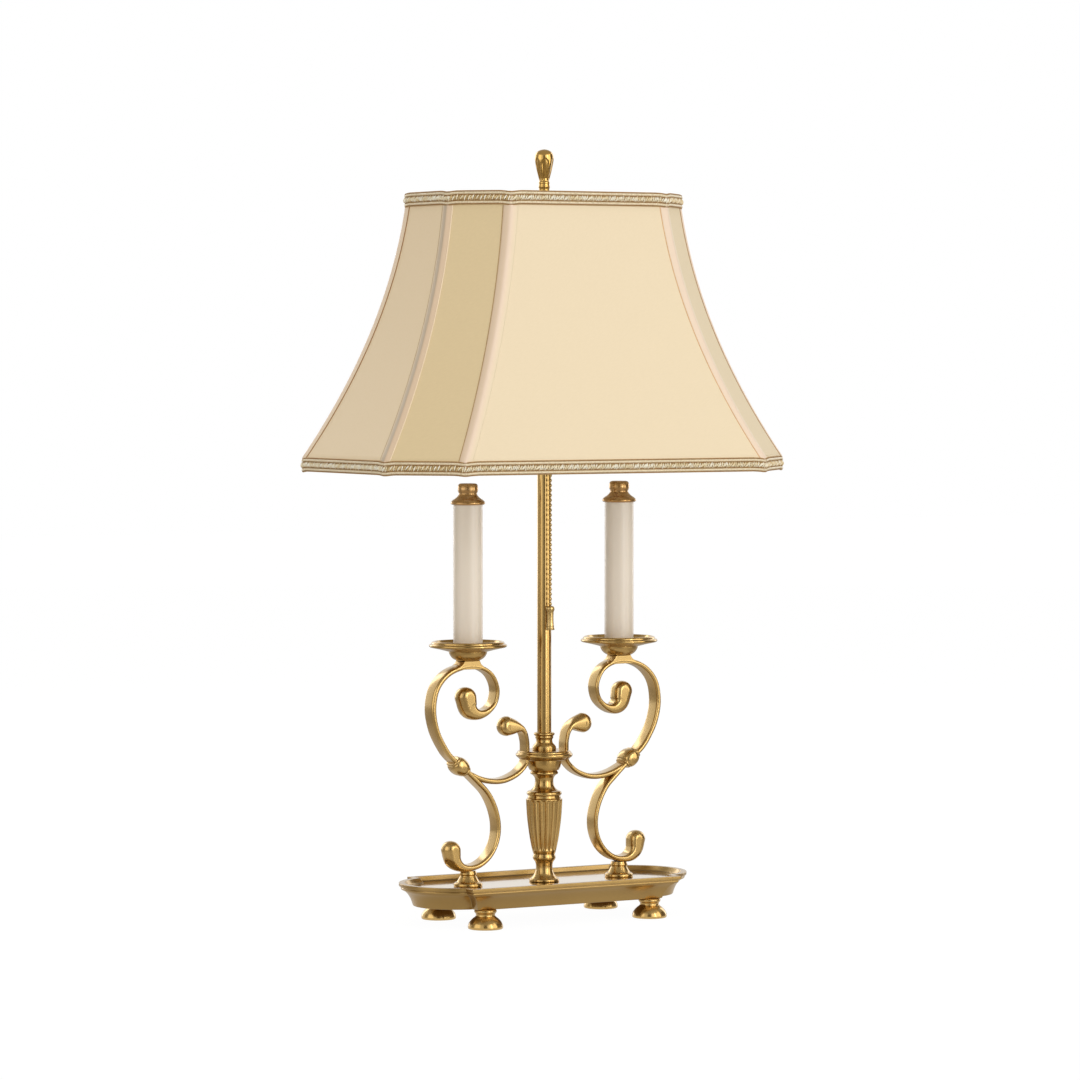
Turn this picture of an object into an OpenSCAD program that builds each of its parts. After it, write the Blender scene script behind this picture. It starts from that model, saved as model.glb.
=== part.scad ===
/* [Feet] */
// Height of a foot
foot_h = 17; // [12:0.5:24]
// Radius of a foot where it meets the table
foot_r = 15.6; // [12:0.1:18]
// Radius of the ring on top of a foot
foot_ring_r = 9.9; // [8:0.1:11]
// Distance of the feet from the centre, along the tray
foot_x = 84.4; // [70:0.2:90]
// Distance of the feet from the centre, across the tray
foot_y = 42.5; // [34:0.2:44]

/* [Tray] */
// Half length of the straight part of the tray, at the rim
tray_x = 107; // [98:0.5:120]
// Half width of the tray, at the rim
tray_y = 60; // [54:0.5:70]
// Radius of the round end lobes, at the rim
lobe_r = 50; // [44:0.5:52]
// Distance of the lobe centres from the centre of the tray
lobe_x = 91; // [84:0.5:96]
// Height of the tray wall
tray_h = 20.3; // [18:0.1:26]
// Depth of the pan below the rim
pan_depth = 4.3; // [3:0.1:6]
// Thickness of the tray floor
floor_t = 2; // [1.5:0.1:4]
// Width of the flat rim
rim_w = 5; // [3.5:0.1:6.5]
// How far the wall sweeps in from the rim to the bottom edge
sweep_in = 12.5; // [10:0.1:14]
// Thickness of the wall at the bottom edge
wall_t = 1.6; // [1.2:0.1:2.5]
// Thickness of the bottom plate
plate_t = 1.2; // [0.8:0.1:2]
// Radius of the posts that take the foot screws
post_r = 5.5; // [4.5:0.1:6]
// Distance of the cord outlet from the centre, towards the back
outlet_y = 30; // [22:0.5:36]
// Radius of the hole through the cord bushing
cord_hole_r = 3.6; // [3:0.1:4.5]

/* [Screws] */
// Radius of the screws
screw_r = 2; // [1.5:0.1:2.4]
// Radius of the screw heads
screw_head_r = 3.8; // [3.2:0.1:4.2]
// Height of the screw heads
screw_head_h = 2.4; // [1.6:0.1:3]

/* [Column] */
// Height of the turned column base
base_h = 25; // [22:0.5:30]
// Radius of the flange at the foot of the column
base_r = 13.5; // [11:0.1:16]
// Radius of the neck of the column base
base_neck_r = 7.5; // [6.8:0.1:8.5]
// Radius of the ring under the vase
base_ring_r = 10.2; // [9.6:0.1:11]
// Radius of the vase at its shoulder
vase_r = 16.3; // [14:0.1:18]
// Number of flutes round the vase
flutes = 20; // [14:1:24]
// Depth of a flute
flute_depth = 1.1; // [0.6:0.1:1.6]
// Height of the turned neck above the vase
neck_h = 24.6; // [22:0.2:28]
// Radius of the neck at its thinnest
neck_r = 8.3; // [7:0.1:9.5]
// Height of the bowl under the disc
bowl_h = 10.2; // [8:0.2:12]
// Radius of the bowl
bowl_r = 15.4; // [13:0.1:16.5]
// Height of the underside of the disc above the tray floor
hub_height = 109.3; // [106:0.1:116]
// Thickness of the disc
disc_h = 8.3; // [6:0.1:10]
// Radius of the disc
disc_r = 25.5; // [25:0.1:28]
// Height of the collar above the disc
collar_h = 16.2; // [14:0.1:20]
// Radius of the collar at its foot
collar_r = 10.6; // [9:0.1:12]

/* [Stem] */
// Radius of the stem tube
stem_r = 6.35; // [6.1:0.05:7]
// Radius of the threaded pipe inside the column and the stem
pipe_r = 5.1; // [4.8:0.05:5.2]
// Radius of the bore of the threaded pipe
pipe_bore_r = 3.9; // [3.2:0.1:4.2]
// Length of the pipe below the tray floor
pipe_tail = 9.5; // [8:0.1:11]
// Half width of the nut across its flats
nut_r = 8; // [7:0.1:10]
// Thickness of the nut
nut_h = 3.6; // [2.5:0.1:4.5]
// Thickness of the washers
washer_t = 1.2; // [0.8:0.1:1.6]
// Radius of the washer under the tray floor
washer_r = 12; // [10:0.5:16]

/* [Arms] */
// Distance of the upright arm stems from the lamp axis
arm_stem_x = 20.2; // [19.8:0.1:20.6]
// Distance from an arm stem to the candle axis
arm_span = 57.8; // [54:0.2:62]
// Height of the arm pads above the tray floor
arm_height = 200.4; // [190:0.2:210]
// Width of the arm bands, front to back
band_w = 16.5; // [14:0.1:18]
// Thickness of the arm bands
band_t = 5; // [4.6:0.1:5.4]
// Length and width of the pad under a candle cup
pad_w = 16; // [14:0.2:18]
// Height of the pad above the middle of the band
pad_h = 5.6; // [4.5:0.1:6.5]
// Height of the pedestal under an arm
pedestal_h = 12.6; // [10:0.1:15]
// Radius of the pedestal at its foot
pedestal_r = 12.8; // [11:0.1:14]
// Radius of the pedestal at its top
pedestal_top_r = 7.6; // [7:0.1:8.5]
// Length of the collar that joins the two scrolls of an arm
knot_l = 12.4; // [10:0.2:14]
// Thickness of that collar, across the band
knot_t = 14.2; // [12:0.2:16]
// Width of that collar, front to back
knot_w = 20.6; // [19:0.2:23]

/* [Candles] */
// Radius of a candle sleeve
candle_r = 12.7; // [11.5:0.1:14]
// Length of a candle sleeve
candle_h = 124.5; // [100:0.5:140]
// Wall of a candle sleeve
candle_wall = 1.6; // [1:0.1:2.5]
// Radius of a drip pan
pan_r = 34.6; // [30:0.1:38]
// Height of the drip pan's rim above its seat
pan_h = 8.2; // [7:0.1:10]
// Radius of the cup bowl under a drip pan
cup_r = 17.2; // [15:0.1:19]
// Height of the cup bowl
cup_h = 8; // [6.5:0.1:10]
// Radius of the flange of a candle cap
cap_r = 15.3; // [14.4:0.1:17]
// Height of a candle cap above its sleeve
cap_h = 19; // [16:0.2:24]
// Radius of the knob on a candle cap
cap_knob_r = 9; // [8:0.1:10.5]
// Radius of the threaded rod in a candle
rod_r = 2.4; // [1.8:0.1:3]

/* [Cluster] */
// Height of the cluster above the tray floor
cluster_height = 403; // [390:1:420]
// Radius of the cluster body
cluster_r = 24; // [23:0.2:28]
// Height of the cluster body
cluster_h = 28; // [26:0.5:34]
// Wall of the cluster body
cluster_wall = 1.6; // [1.2:0.1:2.2]
// Distance of the sockets from the lamp axis
socket_x = 40; // [38:0.5:46]
// Radius of a socket shell
socket_r = 16.5; // [15.5:0.1:17.5]
// Height of a socket shell
socket_h = 36; // [32:0.5:42]
// Height of the insulating cap under a socket shell
socket_cap_h = 18; // [14:0.5:22]
// Radius of the tubes that carry the sockets
branch_r = 5; // [4.5:0.1:5.6]
// Radius of the glass of a bulb
bulb_r = 24; // [20:0.5:28]
// Length of the glass of a bulb
bulb_h = 68; // [60:1:80]
// Radius of the screw base of a bulb
bulb_base_r = 13; // [12:0.1:13.4]

/* [Switch] */
// Distance of the pull chain from the lamp axis
chain_y = 10.6; // [10.4:0.1:11.4]
// Radius of a bead of the chain
bead_r = 1.6; // [1.2:0.05:1.8]
// Distance from bead to bead
bead_pitch = 4.4; // [4:0.1:5]
// Travel of the pull chain
chain_travel = 8; // [6:0.5:10]
// Length of the chain from the top bead to the last one
chain_len = 167.2; // [140.8:4.4:180.4]
// Length of the pendant at the end of the chain
pendant_h = 21.6; // [16:0.2:26]
// Radius of the pendant
pendant_r = 4; // [3.5:0.1:5]
// Radius of the switch drum
drum_r = 3.7; // [3:0.1:3.8]
// Width of the switch drum
drum_w = 6; // [4:0.1:7]

/* [Shade] */
// Height of the bottom edge of the shade above the tray floor
shade_height = 367.6; // [360:0.2:372]
// Height of the shade
shade_h = 246; // [236:1:252]
// Half length of the shade at the bottom
shade_x0 = 202.6; // [190:0.2:215]
// Half width of the shade at the bottom
shade_y0 = 127.1; // [118:0.1:138]
// Corner cut of the shade at the bottom
shade_c0 = 50.7; // [44:0.1:58]
// Half length of the shade at the top
shade_x1 = 119.7; // [110:0.1:130]
// Half width of the shade at the top
shade_y1 = 78.8; // [74:0.1:84]
// Corner cut of the shade at the top
shade_c1 = 40.5; // [36:0.1:46]
// Flare of the shade, from 0 for a deep bell to 1 for straight sides
shade_flare = 0.36; // [0.3:0.01:0.9]
// Thickness of the shade fabric and its lining
fabric_t = 1.6; // [1:0.1:2.4]
// Height of the braid at the top and bottom edges
trim_h = 12.5; // [9:0.1:15]
// Thickness of the braid
trim_t = 1.9; // [1:0.1:2.4]
// Thickness of the frame wires
wire_t = 2.4; // [2:0.1:3]
// Radius of the hub of the spider
spider_hub_r = 10; // [8:0.2:12]

/* [Finial] */
// Height of the finial
finial_h = 40.2; // [36:0.2:48]
// Radius of the finial at its widest
finial_r = 8.4; // [7:0.1:10]
// Radius of the neck of the finial
finial_neck_r = 4.3; // [4.1:0.1:5]
// Number of arched panels round the finial
finial_panels = 12; // [8:1:16]
// Radius of the stud that the finial screws on
stud_r = 3.1; // [2.6:0.05:3.3]

/* [Fits] */
// Radial clearance of a piece that turns or slides on another
run_gap = 0.1; // [0.05:0.01:0.1]
// Clearance between pieces that only lie close to each other
lie_gap = 0.3; // [0.25:0.01:0.4]

/* [Hidden] */
$fn = 64;

// Colours
brass = [0.72, 0.55, 0.27];
dark_brass = [0.5, 0.37, 0.17];
steel = [0.7, 0.7, 0.72];
ivory = [0.93, 0.88, 0.78];
silk = [0.93, 0.87, 0.73];
braid = [0.8, 0.7, 0.5];
plastic = [0.12, 0.11, 0.1];
glass = [0.97, 0.96, 0.92];

// Levels, from the table up
edge_t = 0.8;
rim_z = foot_h + tray_h;
floor_z = rim_z - pan_depth;
hub_z = floor_z + hub_height;
disc_top_z = hub_z + disc_h;
collar_top_z = disc_top_z + collar_h;
seat_z = floor_z + pedestal_h;
arm_top_z = floor_z + arm_height;
cup_top_z = arm_top_z + cup_h;
candle_z = cup_top_z + washer_t + 4;
cap_z = candle_z + candle_h;
cluster_z = floor_z + cluster_height;
cluster_top_z = cluster_z + cluster_h;
shade_z = floor_z + shade_height;
shade_top_z = shade_z + shade_h;
ring_z = shade_top_z - edge_t - wire_t;
riser_top_z = ring_z - washer_t;
finial_z = ring_z + wire_t;
pipe_z = floor_z - floor_t - pipe_tail;

// Column
column_bore_r = pipe_r + run_gap;
vase_z = floor_z + base_h;
neck_z = hub_z - bowl_h - neck_h;
vase_h = neck_z - vase_z;
base_edge_h = 1.2;

// Arms
candle_x = arm_stem_x + arm_span;
stem_band_t = 3.9;
curl_w = band_w - 1;
disc_slot_gap = 0.5;
drawn_span = 57.8;
drawn_hub = 96.7;
drawn_rise = 187.8;
knot_dx = 9.7;
knot_dz = 94.4;
knot_angle = 39.5;
knot_bead = 1.5;
joint_cut = 60;
knot_round = 4;
lower_points = [
    [10.5, 95.1, 5], [0.6, 86.8, 5], [-7.8, 79, 5], [-15.4, 71.6, 5], [-20.7, 63.8, 5],
    [-25, 54, 4.8], [-27.6, 42.8, 4.6], [-27.4, 31.8, 4.5], [-24, 21.2, 4.6],
    [-17.6, 12.2, 4.8], [-8.6, 6, 5], [1.4, 3.8, 5.6], [10, 5.4, 8], [15.6, 11.6, 11],
    [17.3, 20.1, 13.2]
];
branch_points = [
    [2.2, 88.2, 5], [-6, 84.2, 5], [-12, 81.9, 5.2], [-19, 80.2, 5.2], [-27, 79.5, 5.2],
    [-34.5, 80.2, 5.1], [-42, 82.6, 5], [-48.5, 86, 4.7], [-53.4, 90.2, 4.4],
    [-56.8, 94.4, 4.1], [-57.8, 99, 3.9], [-57.8, 106, 3.9], [-57.6, 113, 3.9],
    [-56, 120.2, 4.1], [-53, 124.8, 4.6], [-49.8, 126.4, 7.6], [-45.8, 127.3, 11.8],
    [-40.4, 127.8, 15.4]
];
upper_points = [
    [8.9, 93.7, 5], [19.7, 102.7, 5], [26.5, 111.4, 5], [34.3, 126.4, 5.1],
    [38, 144.9, 5.2], [34.6, 163.4, 5.2], [23.2, 176.4, 5.1], [6.5, 182.4, 4.9],
    [-9, 181.6, 4.6], [-20.8, 174.8, 4.4], [-26.6, 162.4, 4.3], [-24.6, 150, 4.4],
    [-17, 142.2, 5.2], [-8, 139.8, 8], [-0.6, 144.2, 11.6], [2.4, 155, 14.3]
];

// Candles
cup_bore_r = rod_r + run_gap;
pan_floor_t = 1.2;
pan_lip_r = pan_r - 3.4;

// Cluster and switch
socket_axis_z = cluster_z + 12;
elbow_r = 8;
socket_z = socket_axis_z + elbow_r + 4;
shell_z = socket_z + socket_cap_h;
bulb_base_h = 25;
bulb_base_z = shell_z + socket_h - bulb_base_h;
bulb_z = bulb_base_z + bulb_base_h;
drum_y = chain_y + bead_r + lie_gap + drum_r;
drum_z = cluster_z + 13;
axle_r = 1.2;
chain_top_z = drum_z;
guide_r = 3.2;
guide_bore_r = bead_r + 0.4;
guide_h = 6;
cheek_t = 1;
link_r = 0.5;
last_bead = floor(chain_len / bead_pitch);
swing_bead = ceil((chain_top_z - cluster_z + guide_h + bead_r) / bead_pitch);
swing_z = chain_top_z - swing_bead * bead_pitch;
pendant_top_z = chain_top_z - last_bead * bead_pitch - bead_r - 0.05;

// Shade
shade_steps = 16;
trim_lap = 0.1;
rib_inset = fabric_t + 1;

// Smooth curve through given points
function spline_at(a, b, c, d, t) =
    0.5 * (2 * b + (c - a) * t + (2 * a - 5 * b + 4 * c - d) * t * t
    + (3 * b - a - 3 * c + d) * t * t * t);
function pick(p, i) = i < 0 ? 2 * p[0] - p[1]
    : i >= len(p) ? 2 * p[len(p) - 1] - p[len(p) - 2] : p[i];
function spline(p, n) = concat(
    [for (i = [0 : len(p) - 2], k = [0 : n - 1])
        spline_at(pick(p, i - 1), p[i], p[i + 1], pick(p, i + 2), k / n)],
    [p[len(p) - 1]]);

// Closed outline of a band of changing thickness with a round far end
function heading(c, i) = let (a = c[max(i - 1, 0)], b = c[min(i + 1, len(c) - 1)])
    atan2(b[1] - a[1], b[0] - a[0]);
function band_side(c, side) = [for (i = [0 : len(c) - 1])
    let (h = heading(c, i) + side * 90)
    [c[i][0] + c[i][2] / 2 * cos(h), c[i][1] + c[i][2] / 2 * sin(h)]];
function band_cap(c) = let (e = c[len(c) - 1], h = heading(c, len(c) - 1))
    [for (a = [75 : -15 : -75]) [e[0] + e[2] / 2 * cos(h + a), e[1] + e[2] / 2 * sin(h + a)]];
function reversed(p) = [for (i = [len(p) - 1 : -1 : 0]) p[i]];
function band_outline(c) = concat(band_side(c, 1), band_cap(c), reversed(band_side(c, -1)));

// Point of an arm drawing, moved to where the arm stands
function arm_z(dz) = dz < drawn_hub
    ? seat_z + dz * (hub_z - seat_z) / drawn_hub
    : hub_z + (dz - drawn_hub) * (arm_top_z - hub_z) / (drawn_rise - drawn_hub);
function arm_x(dx) = candle_x + dx * arm_span / drawn_span;
function thick(t) = t * band_t / 5;
function arm_path(points) =
    spline([for (q = points) [arm_x(q[0]), arm_z(q[1]), thick(q[2])]], 4);

// Half length, half width and corner distance of the shade at a height fraction from the top
function flare(t) = shade_flare * t + (1 - shade_flare) * t * t;
function shade_x(t) = shade_x1 + (shade_x0 - shade_x1) * flare(t);
function shade_y(t) = shade_y1 + (shade_y0 - shade_y1) * flare(t);
function shade_c(t) = shade_c1 + (shade_c0 - shade_c1) * flare(t);
function shade_d(t) = (shade_x(t) + shade_y(t) - shade_c(t)) / sqrt(2);
function shade_t(z) =
    max(0, min(1, (shade_top_z - trim_h - z) / (shade_h - 2 * trim_h)));
// Heights of the shade's steps between two heights: upright hems and flared sides
function shade_levels(z0, z1) = let (
    low = shade_z + trim_h,
    step = (shade_h - 2 * trim_h) / shade_steps)
    concat([z0], [for (k = [0 : shade_steps]) let (z = low + k * step)
        if (z > z0 + 0.01 && z < z1 - 0.01) z], [z1]);
function corner_x(t, inset) = [shade_x(t) - inset,
    sqrt(2) * (shade_d(t) - inset) - shade_x(t) + inset];
function corner_y(t, inset) = [sqrt(2) * (shade_d(t) - inset) - shade_y(t) + inset,
    shade_y(t) - inset];

// A turned piece: radius and height pairs up its outside, with a bore
module turned(profile, bore) {
    top = profile[len(profile) - 1][1];
    bottom = profile[0][1];
    rotate_extrude()
        polygon(concat([[bore, bottom]], profile, [[bore, top]]));
}

// A prism with one side profile, running along Y
module ridge(points, length) {
    rotate([90, 0, 0])
        linear_extrude(length, center = true)
            polygon(points);
}

// ---- Tray ----

// Inset of the wall from the rim, with its height above the bottom edge
function tray_wall() = let (
    p0 = [4.4, tray_h - 6.9], p1 = [9.6, tray_h - 10.4], p2 = [sweep_in - 0.5, 1.2])
    concat(
        [[0, tray_h], [0, tray_h - 3], [2, tray_h - 3.1], [2, tray_h - 3.8],
         [1.7, tray_h - 4], [2.1, tray_h - 6], [4.2, tray_h - 6.2]],
        [for (k = [0 : 6]) let (t = k / 6)
            (1 - t) * (1 - t) * p0 + 2 * t * (1 - t) * p1 + t * t * p2],
        [[sweep_in, 0]]);
function pan_wall() = [
    [rim_w - 0.4, tray_h + 1], [rim_w, tray_h - 0.6], [rim_w + 2.2, tray_h - pan_depth]];
function cavity_wall() = let (top = tray_h - pan_depth - floor_t) [
    [sweep_in + wall_t + 2, top], [sweep_in + wall_t + 1.6, plate_t + 4],
    [sweep_in + wall_t, plate_t + 0.4], [sweep_in + wall_t, -1]];
function side(wall, reach) = [for (q = wall) [reach - q[0], foot_h + q[1]]];
function mirrored(points) = [for (q = points) [-q[0], q[1]]];
module tray_solid(wall) {
    intersection() {
        ridge(concat(side(wall, tray_x), reversed(mirrored(side(wall, tray_x)))), 2 * tray_y);
        rotate([0, 0, 90])
            ridge(concat(side(wall, tray_y), reversed(mirrored(side(wall, tray_y)))), 2 * tray_x);
    }
    for (s = [-1, 1])
        translate([s * lobe_x, 0, 0])
            rotate_extrude($fn = 96)
                polygon(concat([[0, foot_h + wall[0][1]]], side(wall, lobe_r),
                    [[0, foot_h + wall[len(wall) - 1][1]]]));
}
module at_feet() {
    for (x = [-foot_x, foot_x], y = [-foot_y, foot_y])
        translate([x, y, 0])
            children();
}
module tray() {
    post_top = floor_z - floor_t;
    color(brass) difference() {
        union() {
            difference() {
                tray_solid(tray_wall());
                tray_solid(pan_wall());
                tray_solid(cavity_wall());
            }
            at_feet()
                translate([0, 0, foot_h + plate_t])
                    cylinder(r = post_r, h = post_top - foot_h - plate_t + 0.5);
        }
        at_feet()
            translate([0, 0, foot_h])
                cylinder(r = screw_r, h = 11);
        translate([0, 0, post_top - 1])
            cylinder(r = column_bore_r, h = floor_t + 2);
        for (s = [-1, 1])
            translate([s * candle_x, 0, post_top - 1])
                cylinder(r = screw_r + run_gap, h = floor_t + 2);
    }
}
module plate_shape() {
    inset = sweep_in + wall_t + lie_gap;
    square([2 * (tray_x - inset), 2 * (tray_y - inset)], center = true);
    for (s = [-1, 1])
        translate([s * lobe_x, 0])
            circle(r = lobe_r - inset, $fn = 96);
}
module bottom_plate() {
    color(dark_brass) difference() {
        translate([0, 0, foot_h])
            linear_extrude(plate_t)
                plate_shape();
        at_feet()
            translate([0, 0, foot_h - 1])
                cylinder(r = screw_r + run_gap, h = plate_t + 2);
        translate([0, outlet_y, foot_h - 1])
            cylinder(r = cord_hole_r + 1.5, h = plate_t + 2);
    }
}
module cord_bushing() {
    neck = cord_hole_r + 1.4;
    color(plastic)
        translate([0, outlet_y, foot_h])
            turned([[neck + 1.6, -1.6], [neck + 1.6, 0], [neck, 0], [neck, plate_t],
                [neck + 1, plate_t], [neck + 0.6, plate_t + 1.4]], cord_hole_r);
}

// ---- Feet ----

module foot_at(sx, sy) {
    head_room = screw_head_h + 1.6;
    color(brass)
        translate([sx * foot_x, sy * foot_y, 0])
            difference() {
                turned([[foot_r - 0.8, 0], [foot_r, 0.9], [foot_r - 0.1, 2.2],
                    [foot_r - 0.6, foot_h - 13], [foot_r - 1.3, foot_h - 11.3],
                    [foot_r - 2.5, foot_h - 9.6], [foot_r - 4.3, foot_h - 8],
                    [foot_r - 5.8, foot_h - 7], [foot_ring_r - 1.1, foot_h - 6],
                    [foot_ring_r - 1.5, foot_h - 4.8], [foot_ring_r - 1.3, foot_h - 3.7],
                    [foot_ring_r - 0.5, foot_h - 2.9], [foot_ring_r, foot_h - 1.8],
                    [foot_ring_r - 0.2, foot_h - 0.6], [foot_ring_r - 0.8, foot_h]],
                    screw_r + run_gap);
                translate([0, 0, -1])
                    cylinder(r = screw_head_r + lie_gap, h = head_room + 1);
            }
}
module foot_front_left() { foot_at(-1, -1); }
module foot_front_right() { foot_at(1, -1); }
module foot_back_left() { foot_at(-1, 1); }
module foot_back_right() { foot_at(1, 1); }
module screw(length) {
    translate([0, 0, -screw_head_h])
        cylinder(r = screw_head_r, h = screw_head_h);
    cylinder(r = screw_r, h = length);
}
module screws() {
    foot_head_z = screw_head_h + 1.6;
    pedestal_head_z = floor_z - floor_t;
    color(steel) {
        at_feet()
            translate([0, 0, foot_head_z])
                screw(foot_h + 9 - foot_head_z);
        for (s = [-1, 1])
            translate([s * candle_x, 0, pedestal_head_z])
                screw(seat_z + 3.6 - pedestal_head_z);
    }
}

// ---- Column ----

module column_base() {
    h = base_h;
    color(brass)
        translate([0, 0, floor_z])
            turned([[base_r - 0.3, 0], [base_r, base_edge_h], [base_r - 0.6, 2.5],
                [base_r - 2.3, 3.7], [base_neck_r + 1.9, 5.6], [base_neck_r + 0.7, 8.2],
                [base_neck_r, 11.5], [base_neck_r, h - 9.5], [base_neck_r + 0.7, h - 7.8],
                [base_ring_r - 1, h - 6.2], [base_ring_r - 0.1, h - 4.8],
                [base_ring_r, h - 3], [base_ring_r - 0.5, h - 1.6], [base_ring_r - 0.8, h]],
                column_bore_r);
}
module column_vase() {
    foot_r2 = base_ring_r - 0.4;
    profile = [[foot_r2, 0], [foot_r2 + 0.9, 0.06 * vase_h], [foot_r2 + 2.3, 0.18 * vase_h],
        [foot_r2 + 3.6, 0.33 * vase_h], [vase_r - 1.4, 0.58 * vase_h],
        [vase_r - 0.6, 0.76 * vase_h], [vase_r - 0.1, 0.93 * vase_h], [vase_r, 0.98 * vase_h]];
    color(brass)
        translate([0, 0, vase_z])
            difference() {
                turned(concat(spline(profile, 2), [[vase_r - 1.6, vase_h]]), column_bore_r);
                for (i = [0 : flutes - 1])
                    rotate([0, 0, 360 / flutes * (i + 0.15)])
                        flute();
            }
}
module flute() {
    lean = atan((vase_r - base_ring_r - 2.5) / (0.7 * vase_h));
    cut_r = 0.125 * vase_r;
    translate([base_ring_r + cut_r - flute_depth + 1.1, 0, 0.07 * vase_h])
        rotate([0, lean, 0])
            cylinder(r = cut_r, h = 0.55 * vase_h, $fn = 24);
    translate([vase_r - 0.8 + cut_r - flute_depth, 0, 0.5 * vase_h])
        rotate([0, lean / 4, 0])
            cylinder(r = cut_r, h = 0.44 * vase_h, $fn = 24);
}
module column_neck() {
    h = neck_h;
    color(brass)
        translate([0, 0, neck_z])
            turned([[vase_r - 1.8, 0], [vase_r - 1.3, 1.2], [vase_r - 1.9, 2.4],
                [vase_r - 0.9, 3.2], [vase_r - 0.8, 5], [vase_r - 1.4, 6.2],
                [neck_r + 3.6, 7.8], [neck_r + 1.7, 9.4], [neck_r + 0.4, 12],
                [neck_r, 14.5], [neck_r + 0.3, h - 7.2], [neck_r + 1.7, h - 4.4],
                [neck_r + 3.4, h - 2.6], [neck_r + 4.1, h - 1.6], [neck_r + 4, h - 0.8],
                [neck_r + 3.2, h]], column_bore_r);
}
module hub_bowl() {
    h = bowl_h;
    color(brass)
        translate([0, 0, hub_z - h])
            turned([[bowl_r - 3.2, 0], [bowl_r - 2.1, 0.9], [bowl_r - 2.1, 1.8],
                [bowl_r - 1, 3.4], [bowl_r - 0.4, 5], [bowl_r, 7], [bowl_r, h]],
                column_bore_r);
}
module hub_disc() {
    r = disc_r;
    h = disc_h;
    color(brass) difference() {
        translate([0, 0, hub_z])
            turned([[r - 4.5, 0], [r - 2.9, 0.8], [r - 1.6, 1.9], [r - 0.5, 3],
                [r, 4.4], [r - 0.2, 5.4], [r - 0.9, 6], [r - 1.4, 6.4], [r - 1.5, 7.2],
                [r - 2.6, h]], column_bore_r);
        for (s = [-1, 1])
            translate([s * arm_stem_x, 0, hub_z + h / 2])
                cube([thick(stem_band_t) + 2 * disc_slot_gap, curl_w + 2 * disc_slot_gap, h + 2],
                    center = true);
    }
}
module stem_collar() {
    h = collar_h;
    color(brass)
        translate([0, 0, disc_top_z])
            difference() {
                turned([[collar_r, 0], [collar_r, 3.2], [collar_r - 0.4, 4.1],
                    [stem_r + 3, 5.1], [stem_r + 1.9, 6.3], [stem_r + 1, 7.6],
                    [stem_r + 0.9, 9.6], [stem_r + 1.4, 11.4], [stem_r + 2, 12.6],
                    [stem_r + 2.8, 13.6], [stem_r + 2.9, 14.8], [stem_r + 2, h - 0.6],
                    [stem_r + 1.2, h]], column_bore_r);
                translate([0, 0, 5])
                    cylinder(r = stem_r + run_gap, h = h);
            }
}
module stem_tube() {
    color(brass)
        translate([0, 0, disc_top_z + 5])
            difference() {
                cylinder(r = stem_r, h = cluster_z - disc_top_z - 5);
                translate([0, 0, -1])
                    cylinder(r = column_bore_r, h = cluster_z);
            }
}
module threaded_pipe() {
    color(steel)
        translate([0, 0, pipe_z])
            difference() {
                cylinder(r = pipe_r, h = cluster_z + 8 - pipe_z);
                translate([0, 0, -1])
                    cylinder(r = pipe_bore_r, h = cluster_z + 12 - pipe_z);
            }
}
module pipe_washer() {
    color(steel)
        translate([0, 0, floor_z - floor_t - washer_t])
            difference() {
                cylinder(r = washer_r, h = washer_t);
                translate([0, 0, -1])
                    cylinder(r = column_bore_r, h = washer_t + 2);
            }
}
module pipe_nut() {
    color(steel)
        translate([0, 0, floor_z - floor_t - washer_t - nut_h])
            difference() {
                cylinder(r = nut_r / cos(30), h = nut_h, $fn = 6);
                translate([0, 0, -1])
                    cylinder(r = pipe_r, h = nut_h + 2);
            }
}

// ---- Arms: drawn for the right, mirrored for the left ----

module band(path, width) {
    ridge(band_outline(path), width);
}
module left_side() {
    mirror([1, 0, 0])
        children();
}
module lower_scroll() {
    color(brass) difference() {
        union() {
            band(arm_path(lower_points), band_w);
            band(arm_path(branch_points), curl_w);
            translate([candle_x, 0, seat_z])
                cylinder(r = pedestal_top_r - 0.4, h = 3.4);
        }
        translate([candle_x, 0, seat_z - 1])
            cylinder(r = screw_r, h = 5);
        knot_frame()
            translate([joint_cut / 2, 0, 0])
                cube([joint_cut, joint_cut, joint_cut / 2], center = true);
    }
}
module knot_frame() {
    translate([arm_x(knot_dx), 0, arm_z(knot_dz)])
        rotate([0, -knot_angle, 0])
            children();
}
module upper_scroll() {
    pad_z = arm_top_z - pad_h;
    color(brass) difference() {
        union() {
            band(arm_path(upper_points), band_w);
            translate([candle_x, 0, pad_z + pad_h / 2])
                cube([pad_w, band_w, pad_h], center = true);
        }
        translate([candle_x, 0, arm_top_z - 7])
            cylinder(r = rod_r, h = 8);
        knot_frame()
            translate([-joint_cut / 2, 0, 0])
                cube([joint_cut, joint_cut, joint_cut / 2], center = true);
    }
}
module round_bar(l, w, t, r) {
    for (k = [0, 1])
        rotate([0, 90, 0])
            linear_extrude(l, center = true)
                square(k == 0 ? [t, w - 2 * r] : [t - 2 * r, w], center = true);
    for (y = [-1, 1], z = [-1, 1])
        translate([0, y * (w / 2 - r), z * (t / 2 - r)])
            rotate([0, 90, 0])
                cylinder(r = r, h = l, center = true);
}
module knot() {
    slot_t = thick(5) + 0.5;
    slot_w = band_w;
    color(brass) knot_frame() difference() {
        union() {
            hull()
                for (x = [-1, 1], y = [-1, 1], z = [-1, 1])
                    translate([x * (knot_l / 2 - knot_round), y * (knot_w / 2 - knot_round),
                        z * (knot_t / 2 - knot_round)])
                        sphere(r = knot_round, $fn = 24);
            for (x = [-1, 1])
                translate([x * knot_l / 2, 0, 0])
                    round_bar(knot_bead, band_w + 2, slot_t + 4.4, 2);
        }
        cube([knot_l + 2 * knot_bead + 2, slot_w, slot_t], center = true);
    }
}
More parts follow.
